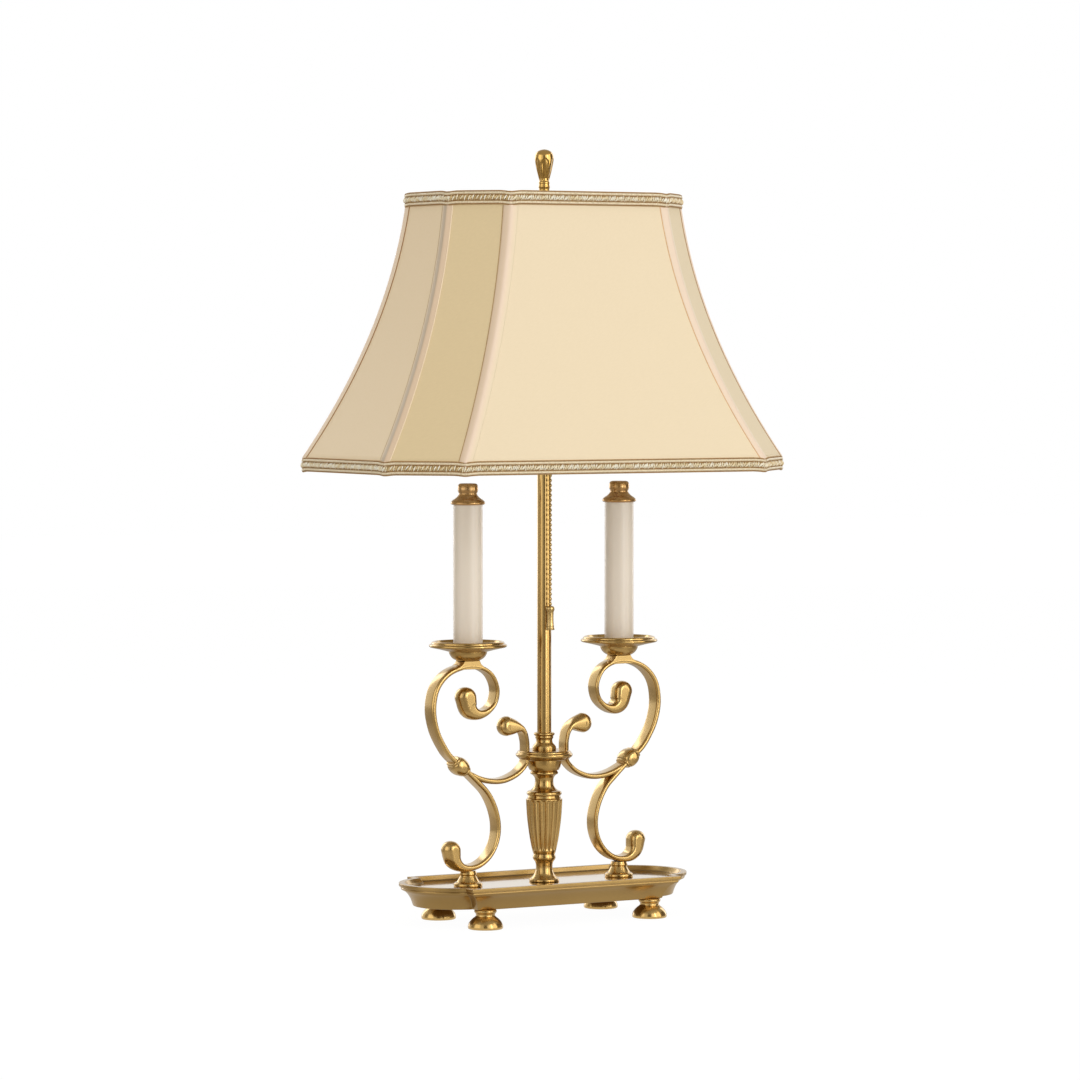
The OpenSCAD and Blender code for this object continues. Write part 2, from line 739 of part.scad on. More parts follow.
module pedestal() {
    h = pedestal_h;
    top = pedestal_top_r;
    color(brass)
        translate([candle_x, 0, floor_z])
            turned([[pedestal_r - 0.5, 0], [pedestal_r, 0.9], [pedestal_r, 2],
                [pedestal_r - 0.8, 3.2], [pedestal_r - 2, 3.9], [top + 2.3, 4.2],
                [top + 1.6, 5.4], [top + 0.6, 7.2], [top, h - 4], [top - 0.4, h - 3],
                [top - 0.1, h - 2.4], [top, h - 1.4], [top - 0.2, h]], screw_r + run_gap);
}
module left_lower_scroll() { left_side() lower_scroll(); }
module right_lower_scroll() { lower_scroll(); }
module left_upper_scroll() { left_side() upper_scroll(); }
module right_upper_scroll() { upper_scroll(); }
module left_knot() { left_side() knot(); }
module right_knot() { knot(); }
module left_pedestal() { left_side() pedestal(); }
module right_pedestal() { pedestal(); }

// ---- Candles ----

module cup() {
    h = cup_h;
    color(brass)
        translate([candle_x, 0, arm_top_z])
            turned([[cup_r - 6.8, 0], [cup_r - 4.4, 1], [cup_r - 3, 2], [cup_r - 1.6, 3.4],
                [cup_r - 0.6, 5], [cup_r, h - 1.4], [cup_r, h]], cup_bore_r);
}
module drip_pan() {
    t = pan_floor_t;
    color(brass)
        translate([candle_x, 0, cup_top_z])
            rotate_extrude()
                polygon([[cup_bore_r, 0], [cup_r + 0.6, 0], [pan_r - 10, 2],
                    [pan_r - 4, 3.8], [pan_r - 0.4, 4.7], [pan_r, 5.4], [pan_r - 1.2, 6.4],
                    [pan_lip_r + 1, pan_h - 0.4], [pan_lip_r, pan_h], [pan_lip_r - 0.8, pan_h - 0.3],
                    [pan_lip_r - 1.6, pan_h - 1.6], [pan_lip_r - 4, 5.6],
                    [candle_r + 3, washer_t + 4 + 0.2], [candle_r + 1, washer_t + 4],
                    [cup_bore_r, washer_t + 4]]);
}
module candle() {
    color(ivory)
        translate([candle_x, 0, candle_z])
            difference() {
                cylinder(r = candle_r, h = candle_h);
                translate([0, 0, -1])
                    cylinder(r = candle_r - candle_wall, h = candle_h + 2);
            }
}
module candle_cap() {
    h = cap_h;
    k = cap_knob_r;
    color(brass)
        translate([candle_x, 0, cap_z])
            difference() {
                union() {
                    rotate_extrude()
                        polygon([[0, -3], [candle_r - candle_wall - 0.1, -3],
                            [candle_r - candle_wall - 0.1, 0], [cap_r - 0.8, 0], [cap_r, 0.7],
                            [cap_r, 1.6], [cap_r - 0.7, 2.6], [cap_r - 1.6, 4], [k + 3, 4.9],
                            [k + 1.6, 5.9], [k + 0.4, 7.2], [k - 0.5, 8.4], [k - 0.8, 9.6],
                            [k - 0.5, 10.8], [k, 12.2], [k, h - 3.8], [k - 0.3, h - 2.2],
                            [k - 1, h - 0.9], [k - 2.2, h], [0, h]]);
                }
                translate([0, 0, -4])
                    cylinder(r = rod_r, h = 12);
            }
}
module candle_rods() {
    color(steel) for (s = [-1, 1])
        translate([s * candle_x, 0, arm_top_z - 6])
            cylinder(r = rod_r, h = cap_z + 6 - arm_top_z + 6);
}
module left_cup() { left_side() cup(); }
module right_cup() { cup(); }
module left_drip_pan() { left_side() drip_pan(); }
module right_drip_pan() { drip_pan(); }
module left_candle() { left_side() candle(); }
module right_candle() { candle(); }
module left_candle_cap() { left_side() candle_cap(); }
module right_candle_cap() { candle_cap(); }

// ---- Cluster, sockets and bulbs ----

module cluster_body() {
    floor_h = 2;
    color(brass) translate([0, 0, cluster_z]) difference() {
        turned([[cluster_r - 6, 0], [cluster_r - 2, 1.6], [cluster_r, 5],
            [cluster_r, cluster_h]], pipe_r);
        translate([0, 0, floor_h])
            rotate_extrude()
                polygon([[column_bore_r + 2.4, 0], [cluster_r - 4.5, 0],
                    [cluster_r - cluster_wall - 1, 3.4], [cluster_r - cluster_wall, 5],
                    [cluster_r - cluster_wall, cluster_h], [column_bore_r + 2.4, cluster_h]]);
        translate([0, 0, 12])
            cylinder(r = column_bore_r + 4, h = cluster_h);
        translate([0, -chain_y, -1])
            cylinder(r = guide_r, h = floor_h + 2);
        translate([0, 0, socket_axis_z - cluster_z])
            rotate([0, 90, 0])
                cylinder(r = branch_r, h = 3 * cluster_r, center = true);
    }
}
module cluster_cover() {
    color(brass) translate([0, 0, cluster_top_z]) difference() {
        union() {
            turned([[cluster_r, 0], [cluster_r - 0.4, 1.2], [cluster_r - 3, 2.4],
                [cluster_r - 9, 3.4], [cluster_r - 15, 4]], column_bore_r);
            translate([0, 0, -2])
                turned([[cluster_r - cluster_wall - run_gap, 0],
                    [cluster_r - cluster_wall - run_gap, 2]], cluster_r - cluster_wall - 1.5);
        }
        translate([0, 0, -3])
            cylinder(r = pipe_r + run_gap, h = 8);
    }
}
module socket_arm() {
    inner_r = branch_r - 1.2;
    start_x = cluster_r - cluster_wall - 1.5;
    color(brass) difference() {
        union() {
            translate([start_x, 0, socket_axis_z])
                rotate([0, 90, 0])
                    cylinder(r = branch_r, h = socket_x - elbow_r - start_x);
            translate([socket_x - elbow_r, 0, socket_axis_z + elbow_r])
                rotate([-90, 0, 0])
                    rotate_extrude(angle = 90)
                        translate([elbow_r, 0])
                            circle(r = branch_r);
            translate([socket_x, 0, socket_axis_z + elbow_r])
                cylinder(r = branch_r, h = socket_z - socket_axis_z - elbow_r);
        }
        translate([start_x - 1, 0, socket_axis_z])
            rotate([0, 90, 0])
                cylinder(r = inner_r, h = socket_x - elbow_r - start_x + 1);
        translate([socket_x - elbow_r, 0, socket_axis_z + elbow_r])
            rotate([-90, 0, 0])
                rotate_extrude(angle = 90)
                    translate([elbow_r, 0])
                        circle(r = inner_r);
        translate([socket_x, 0, socket_axis_z + elbow_r])
            cylinder(r = inner_r, h = socket_z - socket_axis_z - elbow_r + 1);
    }
}
module socket_cap() {
    h = socket_cap_h;
    color(brass)
        translate([socket_x, 0, socket_z])
            difference() {
                turned([[7, 0], [8.5, 1.5], [socket_r - 4, 6], [socket_r - 1.4, 10],
                    [socket_r - 1.4, h]], branch_r - 1.2);
                translate([0, 0, 9])
                    cylinder(r = socket_r - 4, h = h);
            }
}
module socket_shell() {
    color(brass)
        translate([socket_x, 0, shell_z])
            difference() {
                turned([[socket_r - 0.6, 0], [socket_r, 1], [socket_r, socket_h - 1],
                    [socket_r - 0.5, socket_h]], bulb_base_r - 1.2);
                translate([0, 0, socket_h - bulb_base_h])
                    cylinder(r = bulb_base_r + run_gap, h = bulb_base_h + 1);
            }
}
module bulb_base() {
    color(steel)
        translate([socket_x, 0, bulb_base_z])
            rotate_extrude()
                polygon([[0, -3], [4, -3], [5, -1.4], [bulb_base_r - 2, 0], [bulb_base_r, 0],
                    [bulb_base_r, bulb_base_h], [0, bulb_base_h]]);
}
module bulb_glass() {
    neck = bulb_base_r - 0.3;
    profile = [[neck, 0], [neck, 0.07 * bulb_h], [neck + 1.5, 0.16 * bulb_h],
        [neck + 5.5, 0.3 * bulb_h], [bulb_r - 1.4, 0.48 * bulb_h], [bulb_r, 0.64 * bulb_h],
        [bulb_r - 3, 0.8 * bulb_h], [bulb_r * 0.6, 0.94 * bulb_h], [bulb_r * 0.25, bulb_h]];
    color(glass)
        translate([socket_x, 0, bulb_z])
            rotate_extrude()
                polygon(concat([[0, 0]], spline(profile, 3), [[0, bulb_h]]));
}
module left_socket_arm() { left_side() socket_arm(); }
module right_socket_arm() { socket_arm(); }
module left_socket_cap() { left_side() socket_cap(); }
module right_socket_cap() { socket_cap(); }
module left_socket_shell() { left_side() socket_shell(); }
module right_socket_shell() { socket_shell(); }
module left_bulb_base() { left_side() bulb_base(); }
module right_bulb_base() { bulb_base(); }
module left_bulb_glass() { left_side() bulb_glass(); }
module right_bulb_glass() { bulb_glass(); }

// ---- Switch and pull chain ----

module switch_bracket() {
    inner = drum_w / 2 + lie_gap;
    color(steel) difference() {
        union() {
            for (s = [-1, 1])
                translate([s * (inner + cheek_t / 2), -drum_y, cluster_z + 2 + 7])
                    cube([cheek_t, 4, 14], center = true);
            translate([0, -drum_y, cluster_z + 2 + cheek_t / 2])
                cube([2 * inner + cheek_t, 4, cheek_t], center = true);
        }
        translate([0, -drum_y, drum_z])
            rotate([0, 90, 0])
                cylinder(r = axle_r, h = 30, center = true);
    }
}
module switch_axle() {
    color(steel)
        translate([0, -drum_y, drum_z])
            rotate([0, 90, 0])
                cylinder(r = axle_r, h = drum_w + 2 * lie_gap + 2 * cheek_t, center = true);
}
module switch_drum() {
    color(plastic)
        translate([0, -drum_y, drum_z])
            rotate([0, 90, 0])
                difference() {
                    cylinder(r = drum_r, h = drum_w, center = true);
                    cylinder(r = axle_r + run_gap, h = drum_w + 2, center = true);
                }
}
module chain_guide() {
    color(brass)
        translate([0, -chain_y, cluster_z])
            turned([[guide_r + 0.2, -guide_h], [guide_r + 0.6, 1 - guide_h],
                [guide_r - 0.4, 2.4 - guide_h], [guide_r - 0.6, -1.6], [guide_r + 0.6, -1.2],
                [guide_r + 0.6, 0], [guide_r, 0], [guide_r, 2]], guide_bore_r);
}
module beads(first, last) {
    for (i = [first : last])
        translate([0, -chain_y, chain_top_z - i * bead_pitch])
            sphere(r = bead_r, $fn = 32);
}
module chain_wire(z0, z1) {
    translate([0, -chain_y, z0])
        cylinder(r = link_r, h = z1 - z0);
}
module switch_chain() {
    color(brass) {
        beads(0, swing_bead);
        chain_wire(swing_z, chain_top_z);
    }
}
module pull_chain() {
    color(brass) {
        beads(swing_bead + 1, last_bead);
        chain_wire(pendant_top_z, swing_z - bead_r - 0.05);
    }
}
module chain_pendant() {
    top_z = pendant_top_z;
    h = pendant_h;
    r = pendant_r;
    color(brass)
        translate([0, -chain_y, top_z - h])
            rotate_extrude()
                polygon([[0, 0], [1.2, 0], [2, 0.8], [2, 1.8], [1.4, 2.4], [r - 0.6, 3],
                    [r, 3.8], [r - 0.1, 5], [r - 1, 7.5], [r - 1.7, 10.5], [r - 2, h - 6],
                    [r - 2, h - 3.2], [r - 1.2, h - 2.6], [r - 1.2, h - 1.6],
                    [1.6, h - 0.8], [1.2, h], [0, h]]);
}

// ---- Shade ----

module shade_riser() {
    color(brass) {
        translate([0, 0, cluster_z + 12])
            difference() {
                cylinder(r = pipe_r, h = riser_top_z - cluster_z - 12);
                translate([0, 0, -1])
                    cylinder(r = pipe_bore_r, h = riser_top_z - cluster_z - 30);
            }
        translate([0, 0, cluster_z + 12])
            difference() {
                cylinder(r = column_bore_r + 2.4, h = 6);
                translate([0, 0, -1])
                    cylinder(r = pipe_bore_r, h = 8);
            }
        translate([0, 0, riser_top_z])
            cylinder(r = stud_r, h = finial_z + 9 - riser_top_z);
        translate([0, 0, riser_top_z])
            cylinder(r = spider_hub_r - 1, h = washer_t);
    }
}
// Side profile of the shade for one pair of faces, offset outwards by grow
function face_profile(reach, z0, z1, grow) = let (
    up = [for (z = shade_levels(z0, z1)) [reach(shade_t(z)) + grow, z]])
    concat(up, reversed(mirrored(up)));
module shade_block(z0, z1, grow) {
    long = 3 * shade_x0;
    intersection() {
        ridge(face_profile(function(t) shade_x(t), z0, z1, grow), long);
        rotate([0, 0, 90])
            ridge(face_profile(function(t) shade_y(t), z0, z1, grow), long);
        rotate([0, 0, 45])
            ridge(face_profile(function(t) shade_d(t), z0, z1, grow), long);
        rotate([0, 0, -45])
            ridge(face_profile(function(t) shade_d(t), z0, z1, grow), long);
    }
}
module shade_skin(z0, z1, grow, t) {
    difference() {
        shade_block(z0, z1, grow);
        shade_block(z0 - 1, z1 + 1, grow - t);
    }
}
module shade_cover() {
    color(silk) shade_skin(shade_z + edge_t, shade_top_z - edge_t, 0, fabric_t);
}
module shade_trim() {
    color(braid) {
        shade_skin(shade_z, shade_z + trim_h, trim_t + trim_lap, trim_t);
        shade_skin(shade_top_z - trim_h, shade_top_z, trim_t + trim_lap, trim_t);
    }
}
// A wire ring from z0 to z1, with a thin edge at edge_z that the fabric's hem folds over
module frame_ring(z0, z1, edge_z) {
    shade_skin(z0, z1, -rib_inset, wire_t);
    shade_skin(edge_z, edge_z + edge_t, trim_lap, trim_lap + rib_inset + wire_t / 2);
}
module rib(top, bottom) {
    run = norm(bottom - top);
    z0 = shade_z + edge_t;
    z1 = ring_z + wire_t;
    outer = [for (z = shade_levels(z0, z1)) [run * flare(shade_t(z)), z]];
    inner = [for (q = outer) [q[0] - wire_t, q[1]]];
    translate([top[0], top[1], 0])
        rotate([0, 0, atan2(bottom[1] - top[1], bottom[0] - top[0])])
            ridge(concat(outer, reversed(inner)), wire_t);
}
module shade_frame() {
    inset = rib_inset + 0.8;
    color(steel) {
        frame_ring(shade_z, shade_z + edge_t + wire_t, shade_z);
        frame_ring(ring_z, shade_top_z, shade_top_z - edge_t);
        for (sx = [0, 1], sy = [0, 1])
            mirror([sx, 0, 0])
                mirror([0, sy, 0]) {
                    rib(corner_x(0, inset), corner_x(1, inset));
                    rib(corner_y(0, inset), corner_y(1, inset));
                }
    }
}
module shade_spider() {
    color(steel) difference() {
        intersection() {
            translate([0, 0, ring_z]) {
                cylinder(r = spider_hub_r, h = wire_t);
                for (size = [[2 * shade_x0, wire_t, wire_t], [wire_t, 2 * shade_y0, wire_t]])
                    translate([0, 0, wire_t / 2])
                        cube(size, center = true);
            }
            shade_block(ring_z - 1, shade_top_z + 1, -rib_inset - wire_t);
        }
        translate([0, 0, ring_z - 1])
            cylinder(r = stud_r + run_gap, h = wire_t + 2);
    }
}

// ---- Finial ----

module finial() {
    h = finial_h;
    r = finial_r;
    n = finial_neck_r;
    pear = [[n, h - 28], [n + 0.9, h - 26], [r - 2.6, h - 22.6], [r - 1.6, h - 19],
        [r - 0.7, h - 14.6], [r - 0.1, h - 10], [r, h - 7.6], [r - 0.6, h - 4.4],
        [r - 2.2, h - 2], [r - 4.4, h - 0.6]];
    color(brass)
        translate([0, 0, finial_z])
            difference() {
                rotate_extrude()
                    polygon(concat([[0, 0], [n + 2.6, 0], [n + 2.8, 1.2], [n + 1.4, 2.4],
                        [n + 0.5, 4.4], [n + 0.5, 6.2], [n + 0.8, h - 33.2], [n + 0.7, h - 31.6],
                        [n + 0.4, h - 30.6], [n + 0.6, h - 29.6], [n + 0.6, h - 28.8]],
                        spline(pear, 3), [[0, h]]));
                translate([0, 0, -1])
                    cylinder(r = stud_r + run_gap, h = 10.6);
                for (i = [0 : finial_panels - 1])
                    rotate([0, 0, 360 / finial_panels * i])
                        translate([r + 1.6, 0, h - 24])
                            rotate([0, 6, 0])
                                cylinder(r = 2.1, h = 14, $fn = 24);
            }
}

tray();
bottom_plate();
cord_bushing();
foot_front_left();
foot_front_right();
foot_back_left();
foot_back_right();
screws();
column_base();
column_vase();
column_neck();
hub_bowl();
hub_disc();
stem_collar();
stem_tube();
threaded_pipe();
pipe_nut();
pipe_washer();
left_lower_scroll();
right_lower_scroll();
left_upper_scroll();
right_upper_scroll();
left_knot();
right_knot();
left_pedestal();
right_pedestal();
left_cup();
right_cup();
left_drip_pan();
right_drip_pan();
left_candle();
right_candle();
left_candle_cap();
right_candle_cap();
candle_rods();
cluster_body();
cluster_cover();
left_socket_arm();
right_socket_arm();
left_socket_cap();
right_socket_cap();
left_socket_shell();
right_socket_shell();
left_bulb_base();
right_bulb_base();
left_bulb_glass();
right_bulb_glass();
switch_bracket();
switch_axle();
switch_drum();
chain_guide();
switch_chain();
pull_chain();
chain_pendant();
shade_riser();
shade_frame();
shade_cover();
shade_trim();
shade_spider();
finial();
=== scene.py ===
"""Looks of the bouillotte lamp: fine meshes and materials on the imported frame.

Points and sizes are in millimetres until mesh_object() makes metres of them. The camera, the
lights and the cards round the set are in metres. Colours of the lamp are written as 0 to 255.
"""
from math import atan2, copysign, cos, dist, exp, hypot, pi, radians, sin, sqrt, tan

import bmesh
import bpy
from mathutils import Euler, Matrix, Vector

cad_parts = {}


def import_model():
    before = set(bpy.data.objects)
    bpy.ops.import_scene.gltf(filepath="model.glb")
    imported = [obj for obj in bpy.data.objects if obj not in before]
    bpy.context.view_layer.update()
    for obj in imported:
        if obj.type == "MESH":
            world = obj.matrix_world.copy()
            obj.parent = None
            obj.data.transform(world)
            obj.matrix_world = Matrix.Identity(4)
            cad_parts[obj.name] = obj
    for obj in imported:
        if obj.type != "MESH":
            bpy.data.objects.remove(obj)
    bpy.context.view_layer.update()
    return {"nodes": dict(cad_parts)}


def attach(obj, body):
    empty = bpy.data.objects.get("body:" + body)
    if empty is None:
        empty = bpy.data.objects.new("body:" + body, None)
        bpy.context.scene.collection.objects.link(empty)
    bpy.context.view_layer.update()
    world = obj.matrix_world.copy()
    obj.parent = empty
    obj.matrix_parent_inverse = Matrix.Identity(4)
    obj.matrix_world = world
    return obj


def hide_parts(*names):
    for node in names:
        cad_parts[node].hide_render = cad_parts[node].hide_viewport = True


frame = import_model()

MM = 0.001
TURN = 2 * pi
UP = Vector((0, 0, 1))
LAMP = "lamp"
SHADE = "shade"
SIDES = ((-1, "left"), (1, "right"))

# ---- Sizes in millimetres, the same as the construction's ----

FOOT_X = 84.4
FOOT_Y = 42.5
FOOT_H = 17.0
FLOOR_Z = 33.0
RIM_Z = 37.3
BORE = 5.2
VASE_Z = 58.0
NECK_Z = 107.5
BOWL_Z = 132.1
HUB_Z = 142.3
DISC_TOP = 150.6
CANDLE_X = 78.0
PAD_TOP = 233.4
CUP_TOP = 241.4
CANDLE_Z = 246.6
CANDLE_H = 124.5
CANDLE_TOP = CANDLE_Z + CANDLE_H
SHADE_Z = 400.6
SHADE_TOP = 646.6
FINIAL_Z = 645.8
CHAIN_Y = -10.6
CHAIN_TOP = 449.0
BEAD_PITCH = 4.4
BEAD_R = 1.6

# ---- Mesh helpers ----


def add_object(name, data):
    """A new object in the scene."""
    obj = bpy.data.objects.new(name, data)
    bpy.context.collection.objects.link(obj)
    return obj


def mesh_object(name, verts, faces):
    """A new smooth-shaded object from points in millimetres."""
    mesh = bpy.data.meshes.new(name)
    mesh.from_pydata([tuple(c * MM for c in v) for v in verts], [], faces)
    mesh.validate()
    mesh.update()
    for poly in mesh.polygons:
        poly.use_smooth = True
    return add_object(name, mesh)


def face_outwards(obj):
    """Turns every face of a closed mesh to look outwards."""
    bm = bmesh.new()
    bm.from_mesh(obj.data)
    bmesh.ops.recalc_face_normals(bm, faces=bm.faces)
    bm.to_mesh(obj.data)
    bm.free()
    return obj


def even_shading(obj):
    """Weights the normals by face area, so flats stay flat beside small roundings."""
    mod = obj.modifiers.new("even", "WEIGHTED_NORMAL")
    mod.keep_sharp = True
    return obj


def grid_faces(rows, cols, closed=False, start=0):
    """Quads over rows of points, each row a ring; closed joins the last row to the first."""
    faces = []
    for i in range(rows if closed else rows - 1):
        here, above = start + i * cols, start + (i + 1) % rows * cols
        for j in range(cols):
            k = (j + 1) % cols
            faces.append((here + j, here + k, above + k, above + j))
    return faces


def capped_faces(rows, cols):
    """Quads over rows of points, with one face over each end."""
    last = (rows - 1) * cols
    return grid_faces(rows, cols) + [tuple(range(cols)), tuple(range(last, last + cols))]


def angles(count):
    return [TURN * k / count for k in range(count)]


def in_ring(items):
    """Each item of a closed ring, between the one before it and the one after it."""
    return zip(items[-1:] + items[:-1], items, items[1:] + items[:1])


def clamp(value, high=1.0):
    return min(high, max(0.0, value))


def curve(steps, *points):
    """A smooth curve through the points, with this many steps between two of them."""
    first = [2 * p - q for p, q in zip(points[0], points[1])]
    last = [2 * p - q for p, q in zip(points[-1], points[-2])]
    pts = [first, *points, last]
    out = []
    for four in zip(pts, pts[1:], pts[2:], pts[3:]):
        for step in range(steps):
            t = step / steps
            out.append([0.5 * (2 * b + (c - a) * t + (2 * a - 5 * b + 4 * c - d) * t * t
                               + (3 * b - a - 3 * c + d) * t ** 3) for a, b, c, d in zip(*four)])
    out.append(list(points[-1]))
    return out


def bend(start, corner, end, t):
    """The place at t, from 0 to 1, on the round way from start to end past a corner."""
    return start * (1 - t) ** 2 + corner * 2 * t * (1 - t) + end * t * t


def round_corner(start, corner, end, steps):
    """The points of a whole bend."""
    ends = [Vector(p) for p in (start, corner, end)]
    return [tuple(bend(*ends, k / steps)) for k in range(steps + 1)]


def eased(profile, radius, steps):
    """Rounds each sharp corner of a profile, and drops doubled points."""
    flat = radians(163)
    share = 0.45
    out = [profile[0]]
    for before, corner, after in zip(profile, profile[1:], profile[2:]):
        p = Vector(corner)
        back = Vector(before) - p
        ahead = Vector(after) - p
        if min(back.length, ahead.length) < 1e-6:
            continue
        if back.angle(ahead) > flat:
            out.append(tuple(p))
            continue
        a = p + back.normalized() * min(radius, share * back.length)
        b = p + ahead.normalized() * min(radius, share * ahead.length)
        out += round_corner(a, p, b, steps)
    out.append(profile[-1])
    return out


def outline(base, *runs):
    """A turned piece's outline: runs of (radius, height) points above the height of its base."""
    return [(r, base + z) for run in runs for r, z in run]


def turned(name, profile, centre=(0, 0), segments=72, radius_at=None):
    """A turned piece; its (radius, height) points end on its axis or close up."""
    rows = [q for q in profile if q[0] > 1e-6]
    closed = len(rows) == len(profile)
    verts = []
    for r, z in rows:
        for a in angles(segments):
            rr = radius_at(r, z, a) if radius_at else r
            verts.append((centre[0] + rr * cos(a), centre[1] + rr * sin(a), z))
    faces = grid_faces(len(rows), segments, closed)
    if not closed:
        for row, tip in ((0, profile[0]), (len(rows) - 1, profile[-1])):
            ring = row * segments
            for j in range(segments):
                faces.append((len(verts), ring + j, ring + (j + 1) % segments))
            verts.append((*centre, tip[1]))
    return even_shading(face_outwards(mesh_object(name, verts, faces)))


def section(centre, side, up, sides):
    """A ring of points round a centre, with side and up as its half axes."""
    return [tuple(centre + side * cos(a) + up * sin(a)) for a in angles(sides)]


def tube(points, radii, sides=8):
    """Points and faces of a tube along a path; radii is a number or one per point."""
    pts = [Vector(p) for p in points]
    if not isinstance(radii, list):
        radii = [radii] * len(pts)
    side = (pts[1] - pts[0]).normalized().orthogonal()
    verts = []
    for before, p, after, r in zip(pts[:1] + pts, pts, pts[1:] + pts[-1:], radii):
        run = (after - before).normalized()
        side = (side - run * side.dot(run)).normalized()
        verts += section(p, side * r, run.cross(side) * r, sides)
    return verts, capped_faces(len(pts), sides)


def closed_tube(places, radius, sides, flat=1.0):
    """A tube round a closed path of (point, outward direction), its section kept upright."""
    verts = []
    for (before, _), (p, outward), (after, _) in in_ring(places):
        run = (after - before).normalized()
        out = (outward - run * outward.dot(run)).normalized()
        verts += section(p, out * radius * flat, run.cross(out) * radius, sides)
    return verts, grid_faces(len(places), sides, closed=True)


def merged(name, parts):
    """One object from several (points, faces) lists."""
    verts, faces = [], []
    for v, f in parts:
        base = len(verts)
        verts += v
        faces += [tuple(i + base for i in face) for face in f]
    return face_outwards(mesh_object(name, verts, faces))


def dress(obj, material, slot, *nodes, body=LAMP):
    """Gives a piece its material and its body, and hides the nodes that it stands for. slot is not used.
    """
    obj.data.materials.clear()
    obj.data.materials.append(material)
    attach(obj, body)
    if nodes:
        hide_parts(*nodes)


# ---- Material helpers ----


def put(socket, value):
    """Gives a socket a fixed value, or joins another node's output to it."""
    if isinstance(value, bpy.types.NodeSocket):
        socket.id_data.links.new(value, socket)
    else:
        socket.default_value = value


def fill(node, **sockets):
    """Puts a value or an output into each named socket, written with _ for a space."""
    for name, value in sockets.items():
        put(node.inputs[name.replace("_", " ")], value)
    return node


def add(tree, kind, **sockets):
    """A new shader node with these sockets filled."""
    return fill(tree.nodes.new("ShaderNode" + kind), **sockets)


def new_material(name, **sockets):
    """A new material, its node tree and its shader with these sockets filled."""
    material = bpy.data.materials.new(name)
    material.use_nodes = True
    tree = material.node_tree
    return material, tree, fill(tree.nodes["Principled BSDF"], **sockets)


def srgb(colour):
    """A colour of 0 to 255, with no part of it under 11, in linear light."""
    return tuple(((c / 255 + 0.055) / 1.055) ** 2.4 for c in colour)


def ramp(tree, source, *stops):
    """A ramp over a source; each stop is (place, tone), a linear colour or one grey value."""
    node = add(tree, "ValToRGB", Fac=source)
    elements = node.color_ramp.elements
    while len(elements) < len(stops):
        elements.new(0.5)
    for element, (place, tone) in zip(elements, stops):
        element.position = place
        element.color = (*tone, 1) if isinstance(tone, tuple) else (tone, tone, tone, 1)
    return node.outputs["Color"]


def tones(tree, source, light, dark, low=0.3):
    """A drift from dark to light while the source runs through its middle, from low up."""
    return ramp(tree, source, (low, srgb(dark)), (1 - low, srgb(light)))


def noise(tree, scale, detail, place=None):
    """Noise, stretched by its scales, over the object's own coordinates or another place."""
    if place is None:
        place = add(tree, "TexCoord").outputs["Object"]
    stretched = add(tree, "Mapping", Scale=scale, Vector=place).outputs["Vector"]
    return add(tree, "TexNoise", Scale=1.0, Detail=detail, Vector=stretched).outputs["Fac"]


def bump(tree, height, strength, distance):
    return add(tree, "Bump", Height=height, Strength=strength, Distance=distance).outputs["Normal"]


def arithmetic(tree, operation, *values):
    """The result of a calculation with two numbers or outputs."""
    node = add(tree, "Math")
    node.operation = operation
    for socket, value in zip(node.inputs, values):
        put(socket, value)
    return node.outputs["Value"]


# ---- Metals ----


def brass(name, light, dark, grain, rough, depth=0.0, crevice_shade=1.0, lathe=0.0):
    """Satin brass: cloudy tone, brushing along its grain, and painted shade that darkens its crevices.

    rough is the range of its roughness, depth the strength of the brushing, crevice_shade the tone of
    the painted shade in its crevices and lathe how far its shine is drawn out by turning."""
    material, tree, bsdf = new_material(
        name, Metallic=1.0, Coat_Weight=0.4, Coat_Roughness=0.13, Coat_IOR=1.6,
        Anisotropic=lathe, Anisotropic_Rotation=0.25)
    clouds = tones(tree, noise(tree, (11, 11, 11), 2), light, dark, low=0.35)
    # Painted shade: pointiness darkens the tone in crevices and creases, as shade would.
    pointiness = add(tree, "NewGeometry").outputs["Pointiness"]
    painted_crevice_shade = ramp(tree, pointiness, (0.42, crevice_shade), (0.49, 1.0))
    mix = add(tree, "Mix")
    mix.data_type = "RGBA"
    mix.blend_type = "MULTIPLY"
    for index, value in ((0, 1.0), (6, clouds), (7, painted_crevice_shade)):
        put(mix.inputs[index], value)
    brushed = noise(tree, grain, 1)
    fill(bsdf, Base_Color=mix.outputs[2], Normal=bump(tree, brushed, depth, 0.00003),
         Roughness=ramp(tree, brushed, (0.3, rough[0]), (0.75, rough[1])))
    return material


GOLD = (194, 160, 96)
OLD_GOLD = (185, 150, 85)
ROUND_GRAIN = (40, 40, 2000)
BRASS_TURNED = brass("brass_turned", GOLD, OLD_GOLD, (40, 40, 3000), (0.2, 0.28), depth=0.04,
                     crevice_shade=0.68, lathe=0.7)
BRASS_CAST = brass("brass_cast", (197, 164, 101), (192, 158, 95), (300, 1500, 300), (0.22, 0.25),
                   crevice_shade=0.85)
BRASS_TRAY = brass("brass_tray", (172, 141, 84), (162, 131, 75), (120, 1600, 1600), (0.3, 0.36),
                   depth=0.03, crevice_shade=0.8)
BRASS_TUBE = brass("brass_tube", GOLD, OLD_GOLD, ROUND_GRAIN, (0.16, 0.18))
BRASS_FINIAL = brass("brass_finial", (206, 168, 94), (198, 158, 82), ROUND_GRAIN, (0.13, 0.15))
BRASS_ROSE = brass("brass_rose", (206, 165, 108), (198, 155, 96), ROUND_GRAIN, (0.22, 0.28),
                   crevice_shade=0.8, lathe=0.7)
BRASS_FLOOR = brass("brass_polished", (214, 186, 132), (206, 176, 120), (200, 200, 200),
                    (0.05, 0.08), depth=0.02, crevice_shade=0.5)


